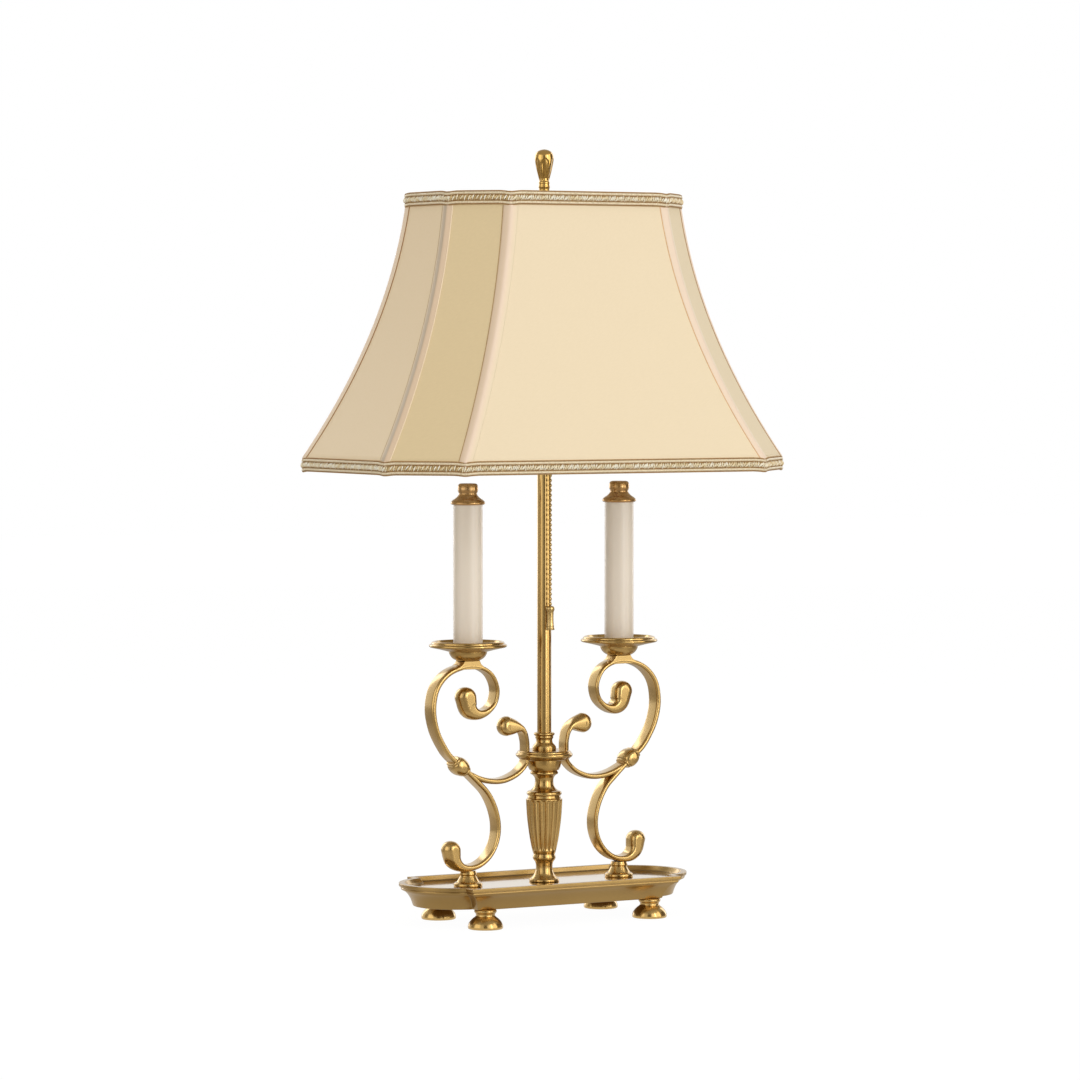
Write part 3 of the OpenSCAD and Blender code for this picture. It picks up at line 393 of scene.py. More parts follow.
def plain_metal(name, colour, rough):
    """Metal with a fine grain in its tone and in its shine."""
    material, tree, bsdf = new_material(name, Metallic=1.0)
    fine = noise(tree, (300, 300, 300), 3)
    light = srgb(colour)
    dark = tuple(0.85 * c for c in light)
    fill(bsdf, Base_Color=ramp(tree, fine, (0.3, dark), (0.7, light)),
         Roughness=ramp(tree, fine, (0.3, rough), (0.7, rough + 0.12)))
    return material


STEEL = plain_metal("zinc_steel", (178, 176, 170), 0.3)
DARK_BRASS = plain_metal("dark_brass", (120, 90, 48), 0.42)
CHAIN_BRASS = plain_metal("chain_brass", (206, 176, 118), 0.2)

# ---- Candle, lining, bulb, plastic and threads ----


def clouded(name, light, dark, scale, detail, low=0.3, relief=None, **sockets):
    """A material that drifts between two tones; relief is its bump: scale, strength and depth."""
    material, tree, bsdf = new_material(name, **sockets)
    fill(bsdf, Base_Color=tones(tree, noise(tree, scale, detail), light, dark, low))
    if relief:
        relief_scale, strength, depth = relief
        fill(bsdf, Normal=bump(tree, noise(tree, relief_scale, 2), strength, depth))
    return material


CANDLE = clouded("candle_ivory", (239, 227, 211), (233, 220, 202), (30, 30, 8), 3,
                 relief=((220, 220, 40), 0.08, 0.0002), Roughness=0.3, Subsurface_Weight=0.04,
                 Subsurface_Radius=(0.004, 0.003, 0.002), Coat_Weight=0.14, Coat_Roughness=0.16)
LINING = clouded("shade_lining", (238, 230, 212), (226, 216, 196), (60, 60, 400), 3, Roughness=0.7)
BULB = clouded("bulb_frosted", (250, 249, 244), (240, 238, 230), (40, 40, 40), 2, Roughness=0.35,
               Subsurface_Weight=0.3, Coat_Weight=0.4)
BLACK_PLASTIC = clouded("black_plastic", (34, 32, 30), (29.7, 27.9, 26.1), (900, 900, 900), 2,
                        relief=((900, 900, 900), 0.2, 0.0001), Roughness=0.45)


def thread(name, light, dark, rough, metallic=0.0, pitch=900.0):
    """Silky or metal thread, with the twist of its strands."""
    twist = (pitch, pitch, pitch)
    return clouded(name, light, dark, twist, 2, low=0.35, relief=(twist, 0.5, 0.0003),
                   Metallic=metallic, Roughness=rough)


# Metal thread in two tones: a near-white painted glint, and a darker painted shade for the strokes
# beneath and on the corners.
METAL_THREAD_PAINTED_GLINT = thread("metal_thread_painted_glint", (255, 251, 234), (236, 218, 176), 0.35, pitch=160.0)
METAL_THREAD_PAINTED_SHADE = thread("metal_thread_painted_shade", (234, 210, 162), (190, 160, 108), 0.45, 0.1, pitch=300.0)
PALE_CORD = thread("pale_cord", (240, 226, 196), (214, 196, 160), 0.45, 0.1)
BROWN_EDGE = thread("brown_ground", (178, 134, 84), (146, 104, 62), 0.7, 0.1)
KHAKI_GROUND = thread("khaki_ground", (200, 172, 120), (174, 144, 94), 0.7, 0.1)
# Lines along the tapes' edges: stitch lines darkened as painted shadow where a tape's edge lies on the
# silk, and a pale one as a painted highlight along a fold.
SEAM_SHADOW_THREADS = [
    thread("seam_soft", (202, 174, 130), (196, 168, 126), 0.7),
    thread("seam_brown", (186, 152, 102), (166, 130, 82), 0.7),
    thread("seam_orange", (238, 196, 146), (226, 180, 128), 0.7),
    thread("seam_tan", (178, 128, 78), (160, 110, 64), 0.7),
]
SEAM_HIGHLIGHT_LINE = thread("seam_painted_highlight", (250, 230, 200), (244, 222, 190), 0.6)

# ---- Cloth ----

WEAVE = 420.0


def cloth(name, rough):
    """A soft sheen over a fine weave. Its place on the cloth is in metres, across and down."""
    material, tree, bsdf = new_material(name, Roughness=rough, Sheen_Weight=0.3,
                                        Sheen_Roughness=0.4)
    uv = add(tree, "UVMap")
    uv.uv_map = "cloth"
    place = uv.outputs["UV"]
    waves = []
    for axis in ("X", "Y"):
        wave = add(tree, "TexWave", Scale=WEAVE, Distortion=1.5, Detail=1.0, Vector=place)
        wave.bands_direction = axis
        waves.append(wave.outputs["Fac"])
    fill(bsdf, Normal=bump(tree, arithmetic(tree, "ADD", *waves), 0.07, 0.0001))
    return material, tree, bsdf, place


def silk(name, light, dark):
    """Shade silk, with faint slubs across it."""
    material, tree, bsdf, place = cloth(name, 0.55)
    fill(bsdf, Base_Color=tones(tree, noise(tree, (WEAVE, WEAVE, 1), 3, place), light, dark))
    return material


SILK = silk("shade_silk", (240, 221, 187), (238, 219, 184))
# Darker copies of the silk for the end and corner panels: painted shade on the sides turned away from
# the key light.
SILK_END_PAINTED_SHADE = silk("shade_silk_end_painted_shade", (237, 214, 176), (235, 212, 172))
SILK_CORNER_PAINTED_SHADE = silk("shade_silk_corner_painted_shade", (225, 203, 159), (222, 200, 156))


def tape_cloth(name, *stops):
    """Seam tape whose tone changes across it as painted shade and highlight over its fold; stops are (mm
    from the rib, colour).
    """
    reach = 10
    material, tree, bsdf, place = cloth(name, 0.5)
    split = add(tree, "SeparateXYZ", Vector=place)
    across = add(tree, "MapRange", Value=split.outputs["X"], From_Min=-reach * MM,
                 From_Max=reach * MM)
    places = [((at + reach) / (2 * reach), srgb(colour)) for at, colour in stops]
    fill(bsdf, Base_Color=ramp(tree, across.outputs["Result"], *places))
    return material


# Tones across each tape: painted shade and highlight where it folds over the rib, fading into the
# painted shade of the panel beside it.
TAPES = [
    tape_cloth("tape_end_to_corner", (-8.2, (222, 196, 156)), (-6.4, (214, 191, 156)),
               (-4.6, (196, 176, 148)), (-1.2, (192, 173, 146)), (0.2, (222, 196, 166)),
               (3.4, (224, 198, 168)), (5.4, (232, 206, 172))),
    tape_cloth("tape_corner_to_face", (-7.0, (214, 190, 160)), (-2.5, (226, 202, 174)),
               (0.4, (238, 214, 190)), (3.5, (241, 219, 190)), (7.4, (240, 221, 187))),
    tape_cloth("tape_face_to_corner", (-7.0, (240, 218, 192)), (-0.5, (240, 216, 192)),
               (2.5, (232, 209, 176)), (7.4, (225, 203, 159))),
    tape_cloth("tape_corner_to_end", (-7.0, (228, 202, 170)), (0.4, (236, 212, 186)),
               (4.0, (240, 217, 188)), (7.4, (240, 221, 187))),
]

# ---- Tray ----

TRAY_X = 107.0
TRAY_Y = 60.0
LOBE_X = 91.0
LOBE_R = 50.0
NICK_SOFT = 0.6
CORNER_SOFT = 0.7


def tray_loop(inset, z):
    """The tray's plan at an inset from its rim: straight sides, and a lobe at each end."""
    x, y, r = TRAY_X - inset, TRAY_Y - inset, LOBE_R - inset
    nick_y = sqrt(r * r - (x - LOBE_X) ** 2)
    nick_a = atan2(nick_y, x - LOBE_X)
    arc_steps, shoulder_steps, side_steps = 22, 6, 16
    quarter = []
    for k in range(arc_steps):
        a = nick_a * k / arc_steps
        quarter.append((LOBE_X + r * cos(a), r * sin(a)))
    shoulder = (x, nick_y + NICK_SOFT)
    quarter += round_corner((x + sin(nick_a) * NICK_SOFT, nick_y - cos(nick_a) * NICK_SOFT),
                            (x, nick_y), shoulder, 2)
    for k in range(1, shoulder_steps):
        quarter.append((x, shoulder[1] + (y - CORNER_SOFT - shoulder[1]) * k / shoulder_steps))
    quarter += round_corner((x, y - CORNER_SOFT), (x, y), (x - CORNER_SOFT, y), 4)
    for k in range(1, side_steps):
        quarter.append(((x - CORNER_SOFT) * (1 - k / side_steps), y))
    half = quarter + [(0.0, y)] + [(-px, py) for px, py in reversed(quarter[1:])]
    whole = half + [(-LOBE_X - r, 0.0)] + [(px, -py) for px, py in reversed(half[1:])]
    return [(px, py, z) for px, py in whole]


def tray():
    """The tray: its plan swept over (inset, height) points, with a polished floor."""
    rim = [(7.3, FLOOR_Z), (6.6, 33.5), (5.2, 36.4), (5.0, RIM_Z), (0.0, RIM_Z), (0.0, 34.3),
           (2, 34.2), (2, 33.5), (1.7, 33.3), (1.5, 32.4), (2.1, 31.3), (4.2, 31.1)]
    fascia = round_corner((4.4, 30.4), (9.6, 26.9), (12.0, 18.2), 8)
    foot = [(12.5, FOOT_H), (14.1, FOOT_H), (15.7, 21.0), (16.1, 31.0)]
    profile = eased(rim + fascia + foot, radius=0.5, steps=3)
    loops = [tray_loop(inset, z) for inset, z in profile]
    faces = capped_faces(len(loops), len(loops[0]))
    obj = face_outwards(mesh_object("tray_brass", sum(loops, []), faces))
    dress(even_shading(obj), BRASS_TRAY, "brass", "tray")
    obj.data.materials.append(BRASS_FLOOR)
    for poly in obj.data.polygons:
        if poly.normal.z > 0.9 and poly.center.z < (FLOOR_Z + 0.2) * MM:
            poly.material_index = 1


tray()

# ---- Feet ----

FOOT = outline(
    0, [(4.1, 0)],
    curve(4, (14.9, 0), (15.55, 0.7), (15.5, 2.2), (15.1, 4), (14.35, 5.7), (13.1, 7.4), (11.5, 9),
          (9.9, 10.2), (9.1, 10.9)),
    curve(3, (8.7, 11.2), (8.45, 12.2), (8.6, 13.2), (9.1, 13.9)),
    curve(3, (9.3, 14.2), (9.85, 15), (9.9, 16), (9.4, 16.8)),
    [(9, FOOT_H), (2.1, FOOT_H), (2.1, 4), (4.1, 4)])

for x_sign, x_side in SIDES:
    for y_sign, y_side in ((-1, "front"), (1, "back")):
        foot_name = "foot_" + y_side + "_" + x_side
        foot = turned(foot_name + "_turned", FOOT, (x_sign * FOOT_X, y_sign * FOOT_Y))
        dress(foot, BRASS_TURNED, "brass", foot_name)

# ---- Column ----

COLUMN = {
    "column_base": outline(
        FLOOR_Z, [(BORE, 0), (13.1, 0)],
        curve(3, (13.1, 0), (13.5, 0.7), (13.45, 1.9), (12.9, 2.7)),
        curve(4, (12.3, 2.9), (10.9, 4.3), (9.2, 6.2), (8.1, 8.6), (7.5, 11.5), (7.45, 14.5), (7.9, 17)),
        curve(4, (8.3, 18), (9.3, 19.2), (10.1, 20.6), (10.25, 22), (9.9, 23.6), (9.4, 25)),
        [(BORE, 25)]),
    "column_neck": outline(
        NECK_Z, [(BORE, 0), (14.4, 0)],
        curve(3, (14.5, 0), (14.9, 0.9), (14.6, 1.9), (14.3, 2.7)), [(15.1, 3.2)],
        curve(3, (15.4, 3.5), (15.7, 4.6), (15.3, 5.8), (14.3, 6.7)),
        curve(4, (12.6, 7.2), (10.6, 8.8), (9.1, 11), (8.35, 14), (8.3, 17), (8.9, 19), (10.4, 20.8),
              (11.4, 21.5)),
        curve(3, (12.1, 21.8), (12.5, 22.7), (12.3, 23.7), (11.5, 24.6)), [(BORE, 24.6)]),
    "hub_bowl": outline(
        BOWL_Z, [(BORE, 0), (11.6, 0), (12, 0.7), (13.2, 1)],
        curve(4, (13.4, 1.5), (14.3, 3.3), (14.9, 5.4), (15.2, 7.6), (15.3, 10.2)),
        [(BORE, 10.2)]),
    "hub_disc": outline(
        HUB_Z, [(BORE, 0), (21, 0), (22.4, 0.5)],
        curve(4, (23, 1.3), (23.8, 2), (24.9, 2.9), (25.5, 4.3), (25.2, 5.5), (24.4, 6.2)),
        [(24, 6.5), (23.9, 7.3), (22.8, 8.1), (22, 8.3), (BORE, 8.3)]),
    "stem_collar": outline(
        DISC_TOP, [(BORE, 0), (10.6, 0), (10.6, 2.6)],
        curve(3, (10.3, 3.4), (9.7, 4.5), (8.6, 5.7), (7.6, 7), (7.3, 8.4), (7.3, 9.9)),
        curve(3, (7.8, 10.6), (8.2, 11.7), (8, 12.8)),
        curve(3, (8.7, 13.3), (9.3, 14.2), (9.2, 15.2), (8.4, 15.9)),
        [(7.4, 16.2), (6.45, 16.2), (6.45, 5), (BORE, 5)]),
}

for piece_name, profile in COLUMN.items():
    piece = turned(piece_name + "_turned", eased(profile, 0.25, 2), segments=96)
    dress(piece, BRASS_TURNED, "brass", piece_name)

VASE_R = 9.8
FLUTES = 20
FLUTE_DEPTH = 1.25
FLUTE_SHARE = 0.8
FLUTE_TURN = 0.3
FLUTE_TOP = NECK_Z - 1.0
FLUTE_FOOT = VASE_Z + 3.0


def flute_cut(r, z, a):
    """The radius of the vase at an angle: round-bottomed flutes that run out at both ends."""
    phase = (a / TURN * FLUTES + FLUTE_TURN) % 1.0
    across = abs(2 * phase - 1) / FLUTE_SHARE
    if r < VASE_R or across >= 1:
        return r
    top = clamp((FLUTE_TOP - z) / 1.4)
    foot = clamp((z - FLUTE_FOOT) / 4.0)
    return r - FLUTE_DEPTH * sqrt((1 - across ** 2) * top * foot)


VASE = outline(
    VASE_Z, [(BORE, 0)],
    curve(5, (VASE_R, 0), (10.7, 3), (11.9, 8.5), (13.1, 15), (14.1, 22), (15, 29), (15.6, 35.5),
          (16, 42), (16.25, 47.6)),
    [(16.3, 48.3), (16.2, 48.9), (15.7, 49.3), (14.7, 49.5), (BORE, 49.5)])
vase = turned("column_vase_fluted", VASE, segments=FLUTES * 16, radius_at=flute_cut)
dress(vase, BRASS_CAST, "brass", "column_vase")

# ---- Arms ----

BAND_W = 16.5
CURL_W = 15.5
PAD_W = 16.2
PLAIN_T = 5.4
SWELL_T = 10.0
SWELL_MOST = 1.15
FLAT_MIDDLE = 1.2
# A band's long edges are rounded over its thickness and over its width: by this much where it
# is plain, and by up to this much more, on its outer and on its inner side, where it swells.
EDGE_ROUND = (1.7, 2.4)
OUTER_GAIN = (4.6, 5.8)
INNER_GAIN = (2.2, 3.4)


def normals_2d(points):
    """A unit left-hand normal at each point of an open path."""
    pairs = zip(points[:1] + points, points[1:] + points[-1:])
    return [Vector((a[1] - b[1], b[0] - a[0])).normalized() for a, b in pairs]


def edge_layers(rings, middle=1):
    """Steps from a bar's front to its back, as (side, angle round its long edges)."""
    angle = [TURN / 4 * k / rings for k in range(rings + 1)]
    flat = [(2 * k / middle - 1, 0) for k in range(1, middle)]
    return [(-1, a) for a in reversed(angle)] + flat + [(1, a) for a in angle]


def band(points, width, outer_side):
    """A forged band that swells to a rounded end. Returns points and faces.

    points are (x, z, thickness); outer_side is +1 or -1 for the side of the path that is the
    outside of its curl, which is rounded off the most where the band swells."""
    path = curve(6, *points)
    norm = normals_2d(path)
    sides = {1: [], -1: []}
    for (x, z, t), n in zip(path, norm):
        swell = clamp((t - PLAIN_T) / SWELL_T, SWELL_MOST)
        for side, edge in sides.items():
            gain = OUTER_GAIN if side == outer_side else INNER_GAIN
            across, deep = (plain + more * swell for plain, more in zip(EDGE_ROUND, gain))
            deep = min(deep, (width - FLAT_MIDDLE) / 2)
            edge.append((Vector((x, z)) + n * side * t / 2, across, deep))
    x, z, t = path[-1]
    n = norm[-1]
    run = Vector((n.y, -n.x))
    cap_steps = 18
    cap = []
    for k in range(1, cap_steps):
        w = k / cap_steps
        a = pi * w
        across, deep = (sides[1][-1][i] * (1 - w) + sides[-1][-1][i] * w for i in (1, 2))
        deep = max(deep, sides[outer_side][-1][2] * sin(a))
        cap.append((Vector((x, z)) + (n * cos(a) + run * sin(a)) * t / 2, across, deep))
    rim = sides[1] + cap + sides[-1][::-1]
    outward = normals_2d([spot for spot, across, deep in rim])
    layers = edge_layers(8, 4)
    verts = []
    for side, a in layers:
        for (spot, across, deep), n in zip(rim, outward):
            y = side * (width / 2 - deep + deep * sin(a))
            bow = 0.5 * (2 * y / width) ** 2
            q = spot - n * (bow + across * (1 - cos(a)))
            verts.append((q.x, y, q.y))
    count = len(rim)
    faces = grid_faces(len(layers), count)
    for base in (0, (len(layers) - 1) * count):
        for i in range(len(path) - 1):
            faces.append((base + i, base + i + 1, base + count - 2 - i, base + count - 1 - i))
        faces.append(tuple(base + i for i in range(len(path) - 1, len(path) + cap_steps)))
    return verts, faces


def prism(points, width):
    """A block with this clockwise (x, z) outline, softened along its front and back edges."""
    edge = 0.8
    pts = [Vector(p) for p in points]
    inward = []
    for before, p, after in in_ring(pts):
        d = (p - before).normalized() + (after - p).normalized()
        inward.append(Vector((d.y, -d.x)).normalized())
    layers = edge_layers(3)
    verts = []
    for side, a in layers:
        for p, n in zip(pts, inward):
            q = p + n * edge * (1 - cos(a))
            verts.append((q.x, side * (width / 2 - edge + edge * sin(a)), q.y))
    return verts, capped_faces(len(layers), len(pts))


LOWER = [(88.5, 140.7, 5), (78.6, 132.4, 5), (70.2, 124.6, 5), (62.6, 117.2, 5), (57.3, 109.4, 5),
         (53, 99.6, 4.8), (50.4, 88.4, 4.6), (50.6, 77.4, 4.5), (54, 66.8, 4.6), (60.4, 57.8, 4.8),
         (69.4, 51.6, 5), (79.4, 49.4, 5.8), (88, 51, 8.8), (94.1, 57, 13.6), (95.9, 65.9, 16.4)]
BRANCH = [(80.2, 133.8, 5), (72, 129.8, 5), (66, 127.5, 5.2), (59, 125.8, 5.2), (51, 125.1, 5.2),
          (43.5, 125.8, 5.1), (36, 128.2, 5), (29.5, 131.6, 4.7), (24.6, 135.8, 4.4), (21.2, 140, 4.1),
          (20.2, 144.6, 3.9), (20.2, 151.6, 3.9), (20.4, 158.6, 3.9), (22, 165.8, 4.3),
          (24.8, 170.2, 5.4), (28, 171.9, 8.6), (32.4, 172.9, 13.4), (38.8, 173.6, 17.6)]
UPPER = [(86.9, 139.3, 5), (97.7, 148.3, 5), (104.5, 157, 5), (112.3, 172, 5.1), (116, 190.5, 5.2),
         (112.6, 209, 5.2), (101.2, 222, 5.1), (84.5, 228, 4.9), (69, 227.2, 4.6), (57.2, 220.4, 4.4),
         (51.4, 208, 4.3), (53.4, 195.6, 4.4), (60.8, 187.9, 5.6), (70, 185.3, 9.6),
         (77.9, 189.6, 15.4), (80.9, 200.6, 18.6)]
PAD = [(63.4, 225.6), (66.5, 228.4), (68.8, 230.4), (69.8, 232.6), (70.2, PAD_TOP), (85.8, PAD_TOP),
       (86.2, 232.4), (87.6, 230.4), (90.4, 228.6), (95, 226)]
KNOT = (87.7, 140.0)
KNOT_TILT = radians(42)
BARREL_HALF = 5.9


def knot():
    """The collar where the bands cross: a barrel between two rings, its axis along the bands."""
    along = Vector((cos(KNOT_TILT), sin(KNOT_TILT)))
    across = Vector((-along.y, along.x))
    ring = curve(3, (-8.2, 3.9, 8.45), (-7.9, 4.9, 8.9), (-7.2, 5.5, 9.3), (-6.6, 5.5, 9.25),
                 (-6.2, 5.2, 8.95))
    barrel = []
    for k in range(-10, 11):
        place = BARREL_HALF * k / 10
        bulge = sqrt(1 - (place / (BARREL_HALF + 0.5)) ** 2)
        barrel.append((place, 4.7 + 3.1 * bulge, 8.5 + 2.1 * bulge))
    rows = ring + barrel + [(-place, u, v) for place, u, v in ring[::-1]]
    around = 48
    squareness = 2 / 2.6
    verts = []
    for place, half_u, half_v in rows:
        for a in angles(around):
            u, v = (half * copysign(abs(f) ** squareness, f)
                    for half, f in ((half_u, cos(a)), (half_v, sin(a))))
            spot = Vector(KNOT) + along * place + across * u
            verts.append((spot.x, v, spot.y))
    return verts, capped_faces(len(rows), around)


ARM = {
    "lower_scroll": ("forged", [band(LOWER, BAND_W, -1), band(BRANCH, CURL_W, 1)]),
    "upper_scroll": ("forged", [band(UPPER, BAND_W, -1), prism(PAD, PAD_W)]),
    "knot": ("turned", [knot()]),
}


def mirrored(parts):
    """The parts of the right arm, mirrored to the left."""
    return [([(-x, y, z) for x, y, z in v], [tuple(reversed(f)) for f in fs]) for v, fs in parts]


for arm_sign, arm_side in SIDES:
    for part_name, (work, parts) in ARM.items():
        node_name = arm_side + "_" + part_name
        piece = merged(node_name + "_" + work, parts if arm_sign > 0 else mirrored(parts))
        dress(even_shading(piece), BRASS_CAST, "brass", node_name)

# ---- Candles, cups and pedestals ----

SLEEVE_R = 13.05
SLEEVE_BORE = 11.1
CANDLE_PARTS = {
    "pedestal": (BRASS_TURNED, outline(
        FLOOR_Z, [(2.1, 0), (12.3, 0)],
        curve(3, (12.4, 0), (12.8, 0.7), (12.8, 1.9), (12.3, 2.9), (11.2, 3.6)),
        curve(3, (10.3, 4), (9.4, 5.2), (8.4, 6.9), (7.7, 8.3)), [(7.2, 9), (7.2, 9.7)],
        curve(3, (7.5, 10), (7.8, 11), (7.5, 12.2)),
        [(7.1, 12.9), (6.9, 13.9), (2.1, 13.9)])),
    "cup": (BRASS_TURNED, outline(
        PAD_TOP, [(2.5, 0)],
        curve(4, (10.2, 0), (12.3, 1), (14.2, 2.4), (15.7, 4.2), (16.7, 6.2), (17.1, 8)),
        [(2.5, 8)])),
    "drip_pan": (BRASS_TURNED, outline(
        CUP_TOP, [(2.5, 0), (17.6, 0)],
        curve(3, (17.9, 0.1), (21, 0.9), (25, 1.9), (29.6, 2.9), (32.4, 3.5)),
        curve(3, (33.4, 3.7), (34.3, 4.3), (34.6, 5.2), (34.4, 6), (33.7, 6.6), (32.9, 6.8)),
        curve(3, (32.5, 7), (32.4, 7.8), (31.9, 8.5), (31, 8.9), (30.2, 8.7)),
        curve(3, (29.4, 7.9), (28, 6.6), (25, 5.9), (16, 5.3)),
        [(12.6, 5.2), (2.5, 5.2)])),
    "candle": (CANDLE, outline(
        CANDLE_Z, [(SLEEVE_BORE, 0), (SLEEVE_R, 0), (SLEEVE_R, 40), (SLEEVE_R, CANDLE_H - 40),
                   (SLEEVE_R, CANDLE_H), (SLEEVE_BORE, CANDLE_H)])),
    "candle_cap": (BRASS_ROSE, outline(
        CANDLE_TOP, [(0, -3), (2.4, -3), (11, -3), (11, 0), (13, 0)],
        curve(3, (14.2, 0.2), (15.1, 0.9), (15.3, 1.8), (14.9, 2.8), (13.8, 4), (12.4, 5)),
        curve(3, (11.8, 5.3), (10.4, 6.4), (9, 7.8), (8.2, 9.2), (8.2, 10.4), (8.6, 11.6)),
        curve(3, (8.9, 12.2), (9.1, 13.8), (9, 15.6), (8.7, 17.2), (7.9, 18.4), (6.4, 19)),
        [(0, 19)])),
}

for candle_sign, candle_side in SIDES:
    for part_name, (part_material, profile) in CANDLE_PARTS.items():
        node_name = candle_side + "_" + part_name
        piece = turned(node_name + "_turned", eased(profile, 0.3, 2), (candle_sign * CANDLE_X, 0),
                       segments=96)
        dress(piece, part_material, "candle" if part_material == CANDLE else "brass", node_name)

# ---- Finial ----

FINIAL_LOBES = 6
FINIAL_TURN = radians(8)
PANEL_FOOT = FINIAL_Z + 11.8
PANEL_ARCH = FINIAL_Z + 26.2
PANEL_RISE = 6.4
PANEL_SHARE = 0.84
PANEL_DEPTH = 0.8
PANEL_STEEP = 5.0


def finial_cut(r, z, a):
    """Six arched panels set into the finial's pear, with ridges left between them."""
    phase = ((a - FINIAL_TURN) / TURN * FINIAL_LOBES + 0.5) % 1.0
    across = abs(2 * phase - 1) / PANEL_SHARE
    rise = max(0.0, (z - PANEL_ARCH) / PANEL_RISE)
    step = clamp((1 - hypot(across, rise)) * PANEL_STEEP)
    fade = clamp((z - PANEL_FOOT) / 2.5)
    return r - fade * PANEL_DEPTH * step * step * (3 - 2 * step)


FINIAL = outline(
    FINIAL_Z, [(0, 0), (6.9, 0), (7.1, 1.2), (5.8, 2.4)],
    curve(3, (4.7, 3.8), (4.8, 5.6), (5.1, 7), (4.9, 8.2)), [(4.6, 8.8)],
    curve(3, (4.9, 9.8), (4.9, 10.8), (4.4, 11.8)),
    curve(9, (4.4, 12.8), (4.9, 14.6), (5.8, 18), (6.7, 21.6), (7.45, 25.2), (8.1, 28.8), (8.4, 31.8),
          (8.05, 34.9), (7.25, 36.8), (6.1, 38.2), (4.3, 39.3), (2.2, 40)),
    [(0, 40.2)])
finial = turned("finial_turned", FINIAL, segments=FINIAL_LOBES * 30, radius_at=finial_cut)
dress(finial, BRASS_FINIAL, "brass", "finial", body="finial")

# ---- Shade ----

FLARE = 0.36
# Half its length, half its width and how far its corners are cut.
TOP = (119.7, 78.8, 40.5)
BOTTOM = (202.6, 127.1, 50.7)
FABRIC_T = 1.6
TRIM_H = 12.5
LOW_HEM = SHADE_Z + TRIM_H
HIGH_HEM = SHADE_TOP - TRIM_H


def shade_corners(z, grow=0.0):
    """The shade's eight corners at a height, counter-clockwise from +X, pushed out by grow."""
    t = clamp((HIGH_HEM - z) / (HIGH_HEM - LOW_HEM))
    flare = FLARE * t + (1 - FLARE) * t * t
    x, y, cut = (a + (b - a) * flare for a, b in zip(TOP, BOTTOM))
    reach = x + y - cut + sqrt(2) * grow
    x, y = x + grow, y + grow
    ring = [(x, reach - x), (reach - y, y)]
    ring += [(-px, py) for px, py in reversed(ring)]
    ring += [(px, -py) for px, py in reversed(ring)]
    return ring


def shade_heights(z0, z1, steps):
    """Heights up the shade from z0 to z1, with one at each hem."""
    run = [LOW_HEM + (HIGH_HEM - LOW_HEM) * k / steps for k in range(steps + 1)]
    return [z0] + [z for z in run if z0 + 0.01 < z < z1 - 0.01] + [z1]


def rounded_loop(corners, radius, across, arc=5):
    """A closed loop with round corners and this many steps across each straight."""
    out = []
    for before, p, after in in_ring([Vector(c) for c in corners]):
        a = p + (before - p).normalized() * radius
        b = p + (after - p).normalized() * radius
        c = after + (p - after).normalized() * radius
        out += round_corner(a, p, b, arc)
        out += [tuple(b.lerp(c, k / across)) for k in range(1, across)]
    return out


def cloth_uv(obj, uv_of):
    """Stores each corner's place on the cloth, in metres."""
    layer = obj.data.uv_layers.new(name="cloth")
    for loop in obj.data.loops:
        layer.data[loop.index].uv = uv_of[loop.vertex_index]


def shade_cover():
    """The silk and its lining as one closed shell with cut corners; its corner and end panels take
    darker copies of the silk as painted shade.
    """
    levels = shade_heights(SHADE_Z + 0.8, SHADE_TOP - 0.8, 56)
    verts, uv = [], []
    for grow, order in ((0.0, levels), (-FABRIC_T, levels[::-1])):
        for z in order:
            loop = rounded_loop(shade_corners(z, grow), 2.2, 14)
            run = 0.0
            for before, spot in zip(loop[:1] + loop, loop):
                run += dist(before, spot)
                verts.append((*spot, z))
                uv.append((run * MM, z * MM))
    cols = len(loop)
    obj = mesh_object("shade_silk", verts, grid_faces(2 * len(levels), cols, closed=True))
    cloth_uv(obj, uv)
    dress(face_outwards(obj), SILK, "silk", "shade_cover", body=SHADE)
    for material in (LINING, SILK_CORNER_PAINTED_SHADE, SILK_END_PAINTED_SHADE):
        obj.data.materials.append(material)
    # Corner and end panels take the darker silks: painted shade by the way each side faces the light.
    for poly in obj.data.polygons:
        nx, ny, nz = (abs(c) for c in poly.normal)
        if all(v >= len(levels) * cols for v in poly.vertices):
            poly.material_index = 1
        elif abs(nx - ny) < 0.3 and nz < 0.9:
            poly.material_index = 2
        elif nx > 0.7:
            poly.material_index = 3


shade_cover()

# ---- Tapes and seams over the ribs ----

TAPE_RISE = 0.55
TAPE_UNDER = 0.02
FOLD = 1.7
SEAM_LIFT = 0.12


def rib_place(rib, z, s, lift):
    """A point of the shade's skin, s across from a rib, lifted off it."""
    ring = shade_corners(z, lift)
    p = Vector(ring[rib])
    near = Vector(ring[rib - 1 if s < 0 else (rib + 1) % 8])
    return p + (near - p).normalized() * abs(s)


def tape_edges(rib, z):
    """How far a rib's tape reaches to the left and to the right of the rib."""
    if rib % 4 == 0:
        return 8.0, 5.3
    return 5.3 + 1.6 * (z - SHADE_Z) / (SHADE_TOP - SHADE_Z), 7.6


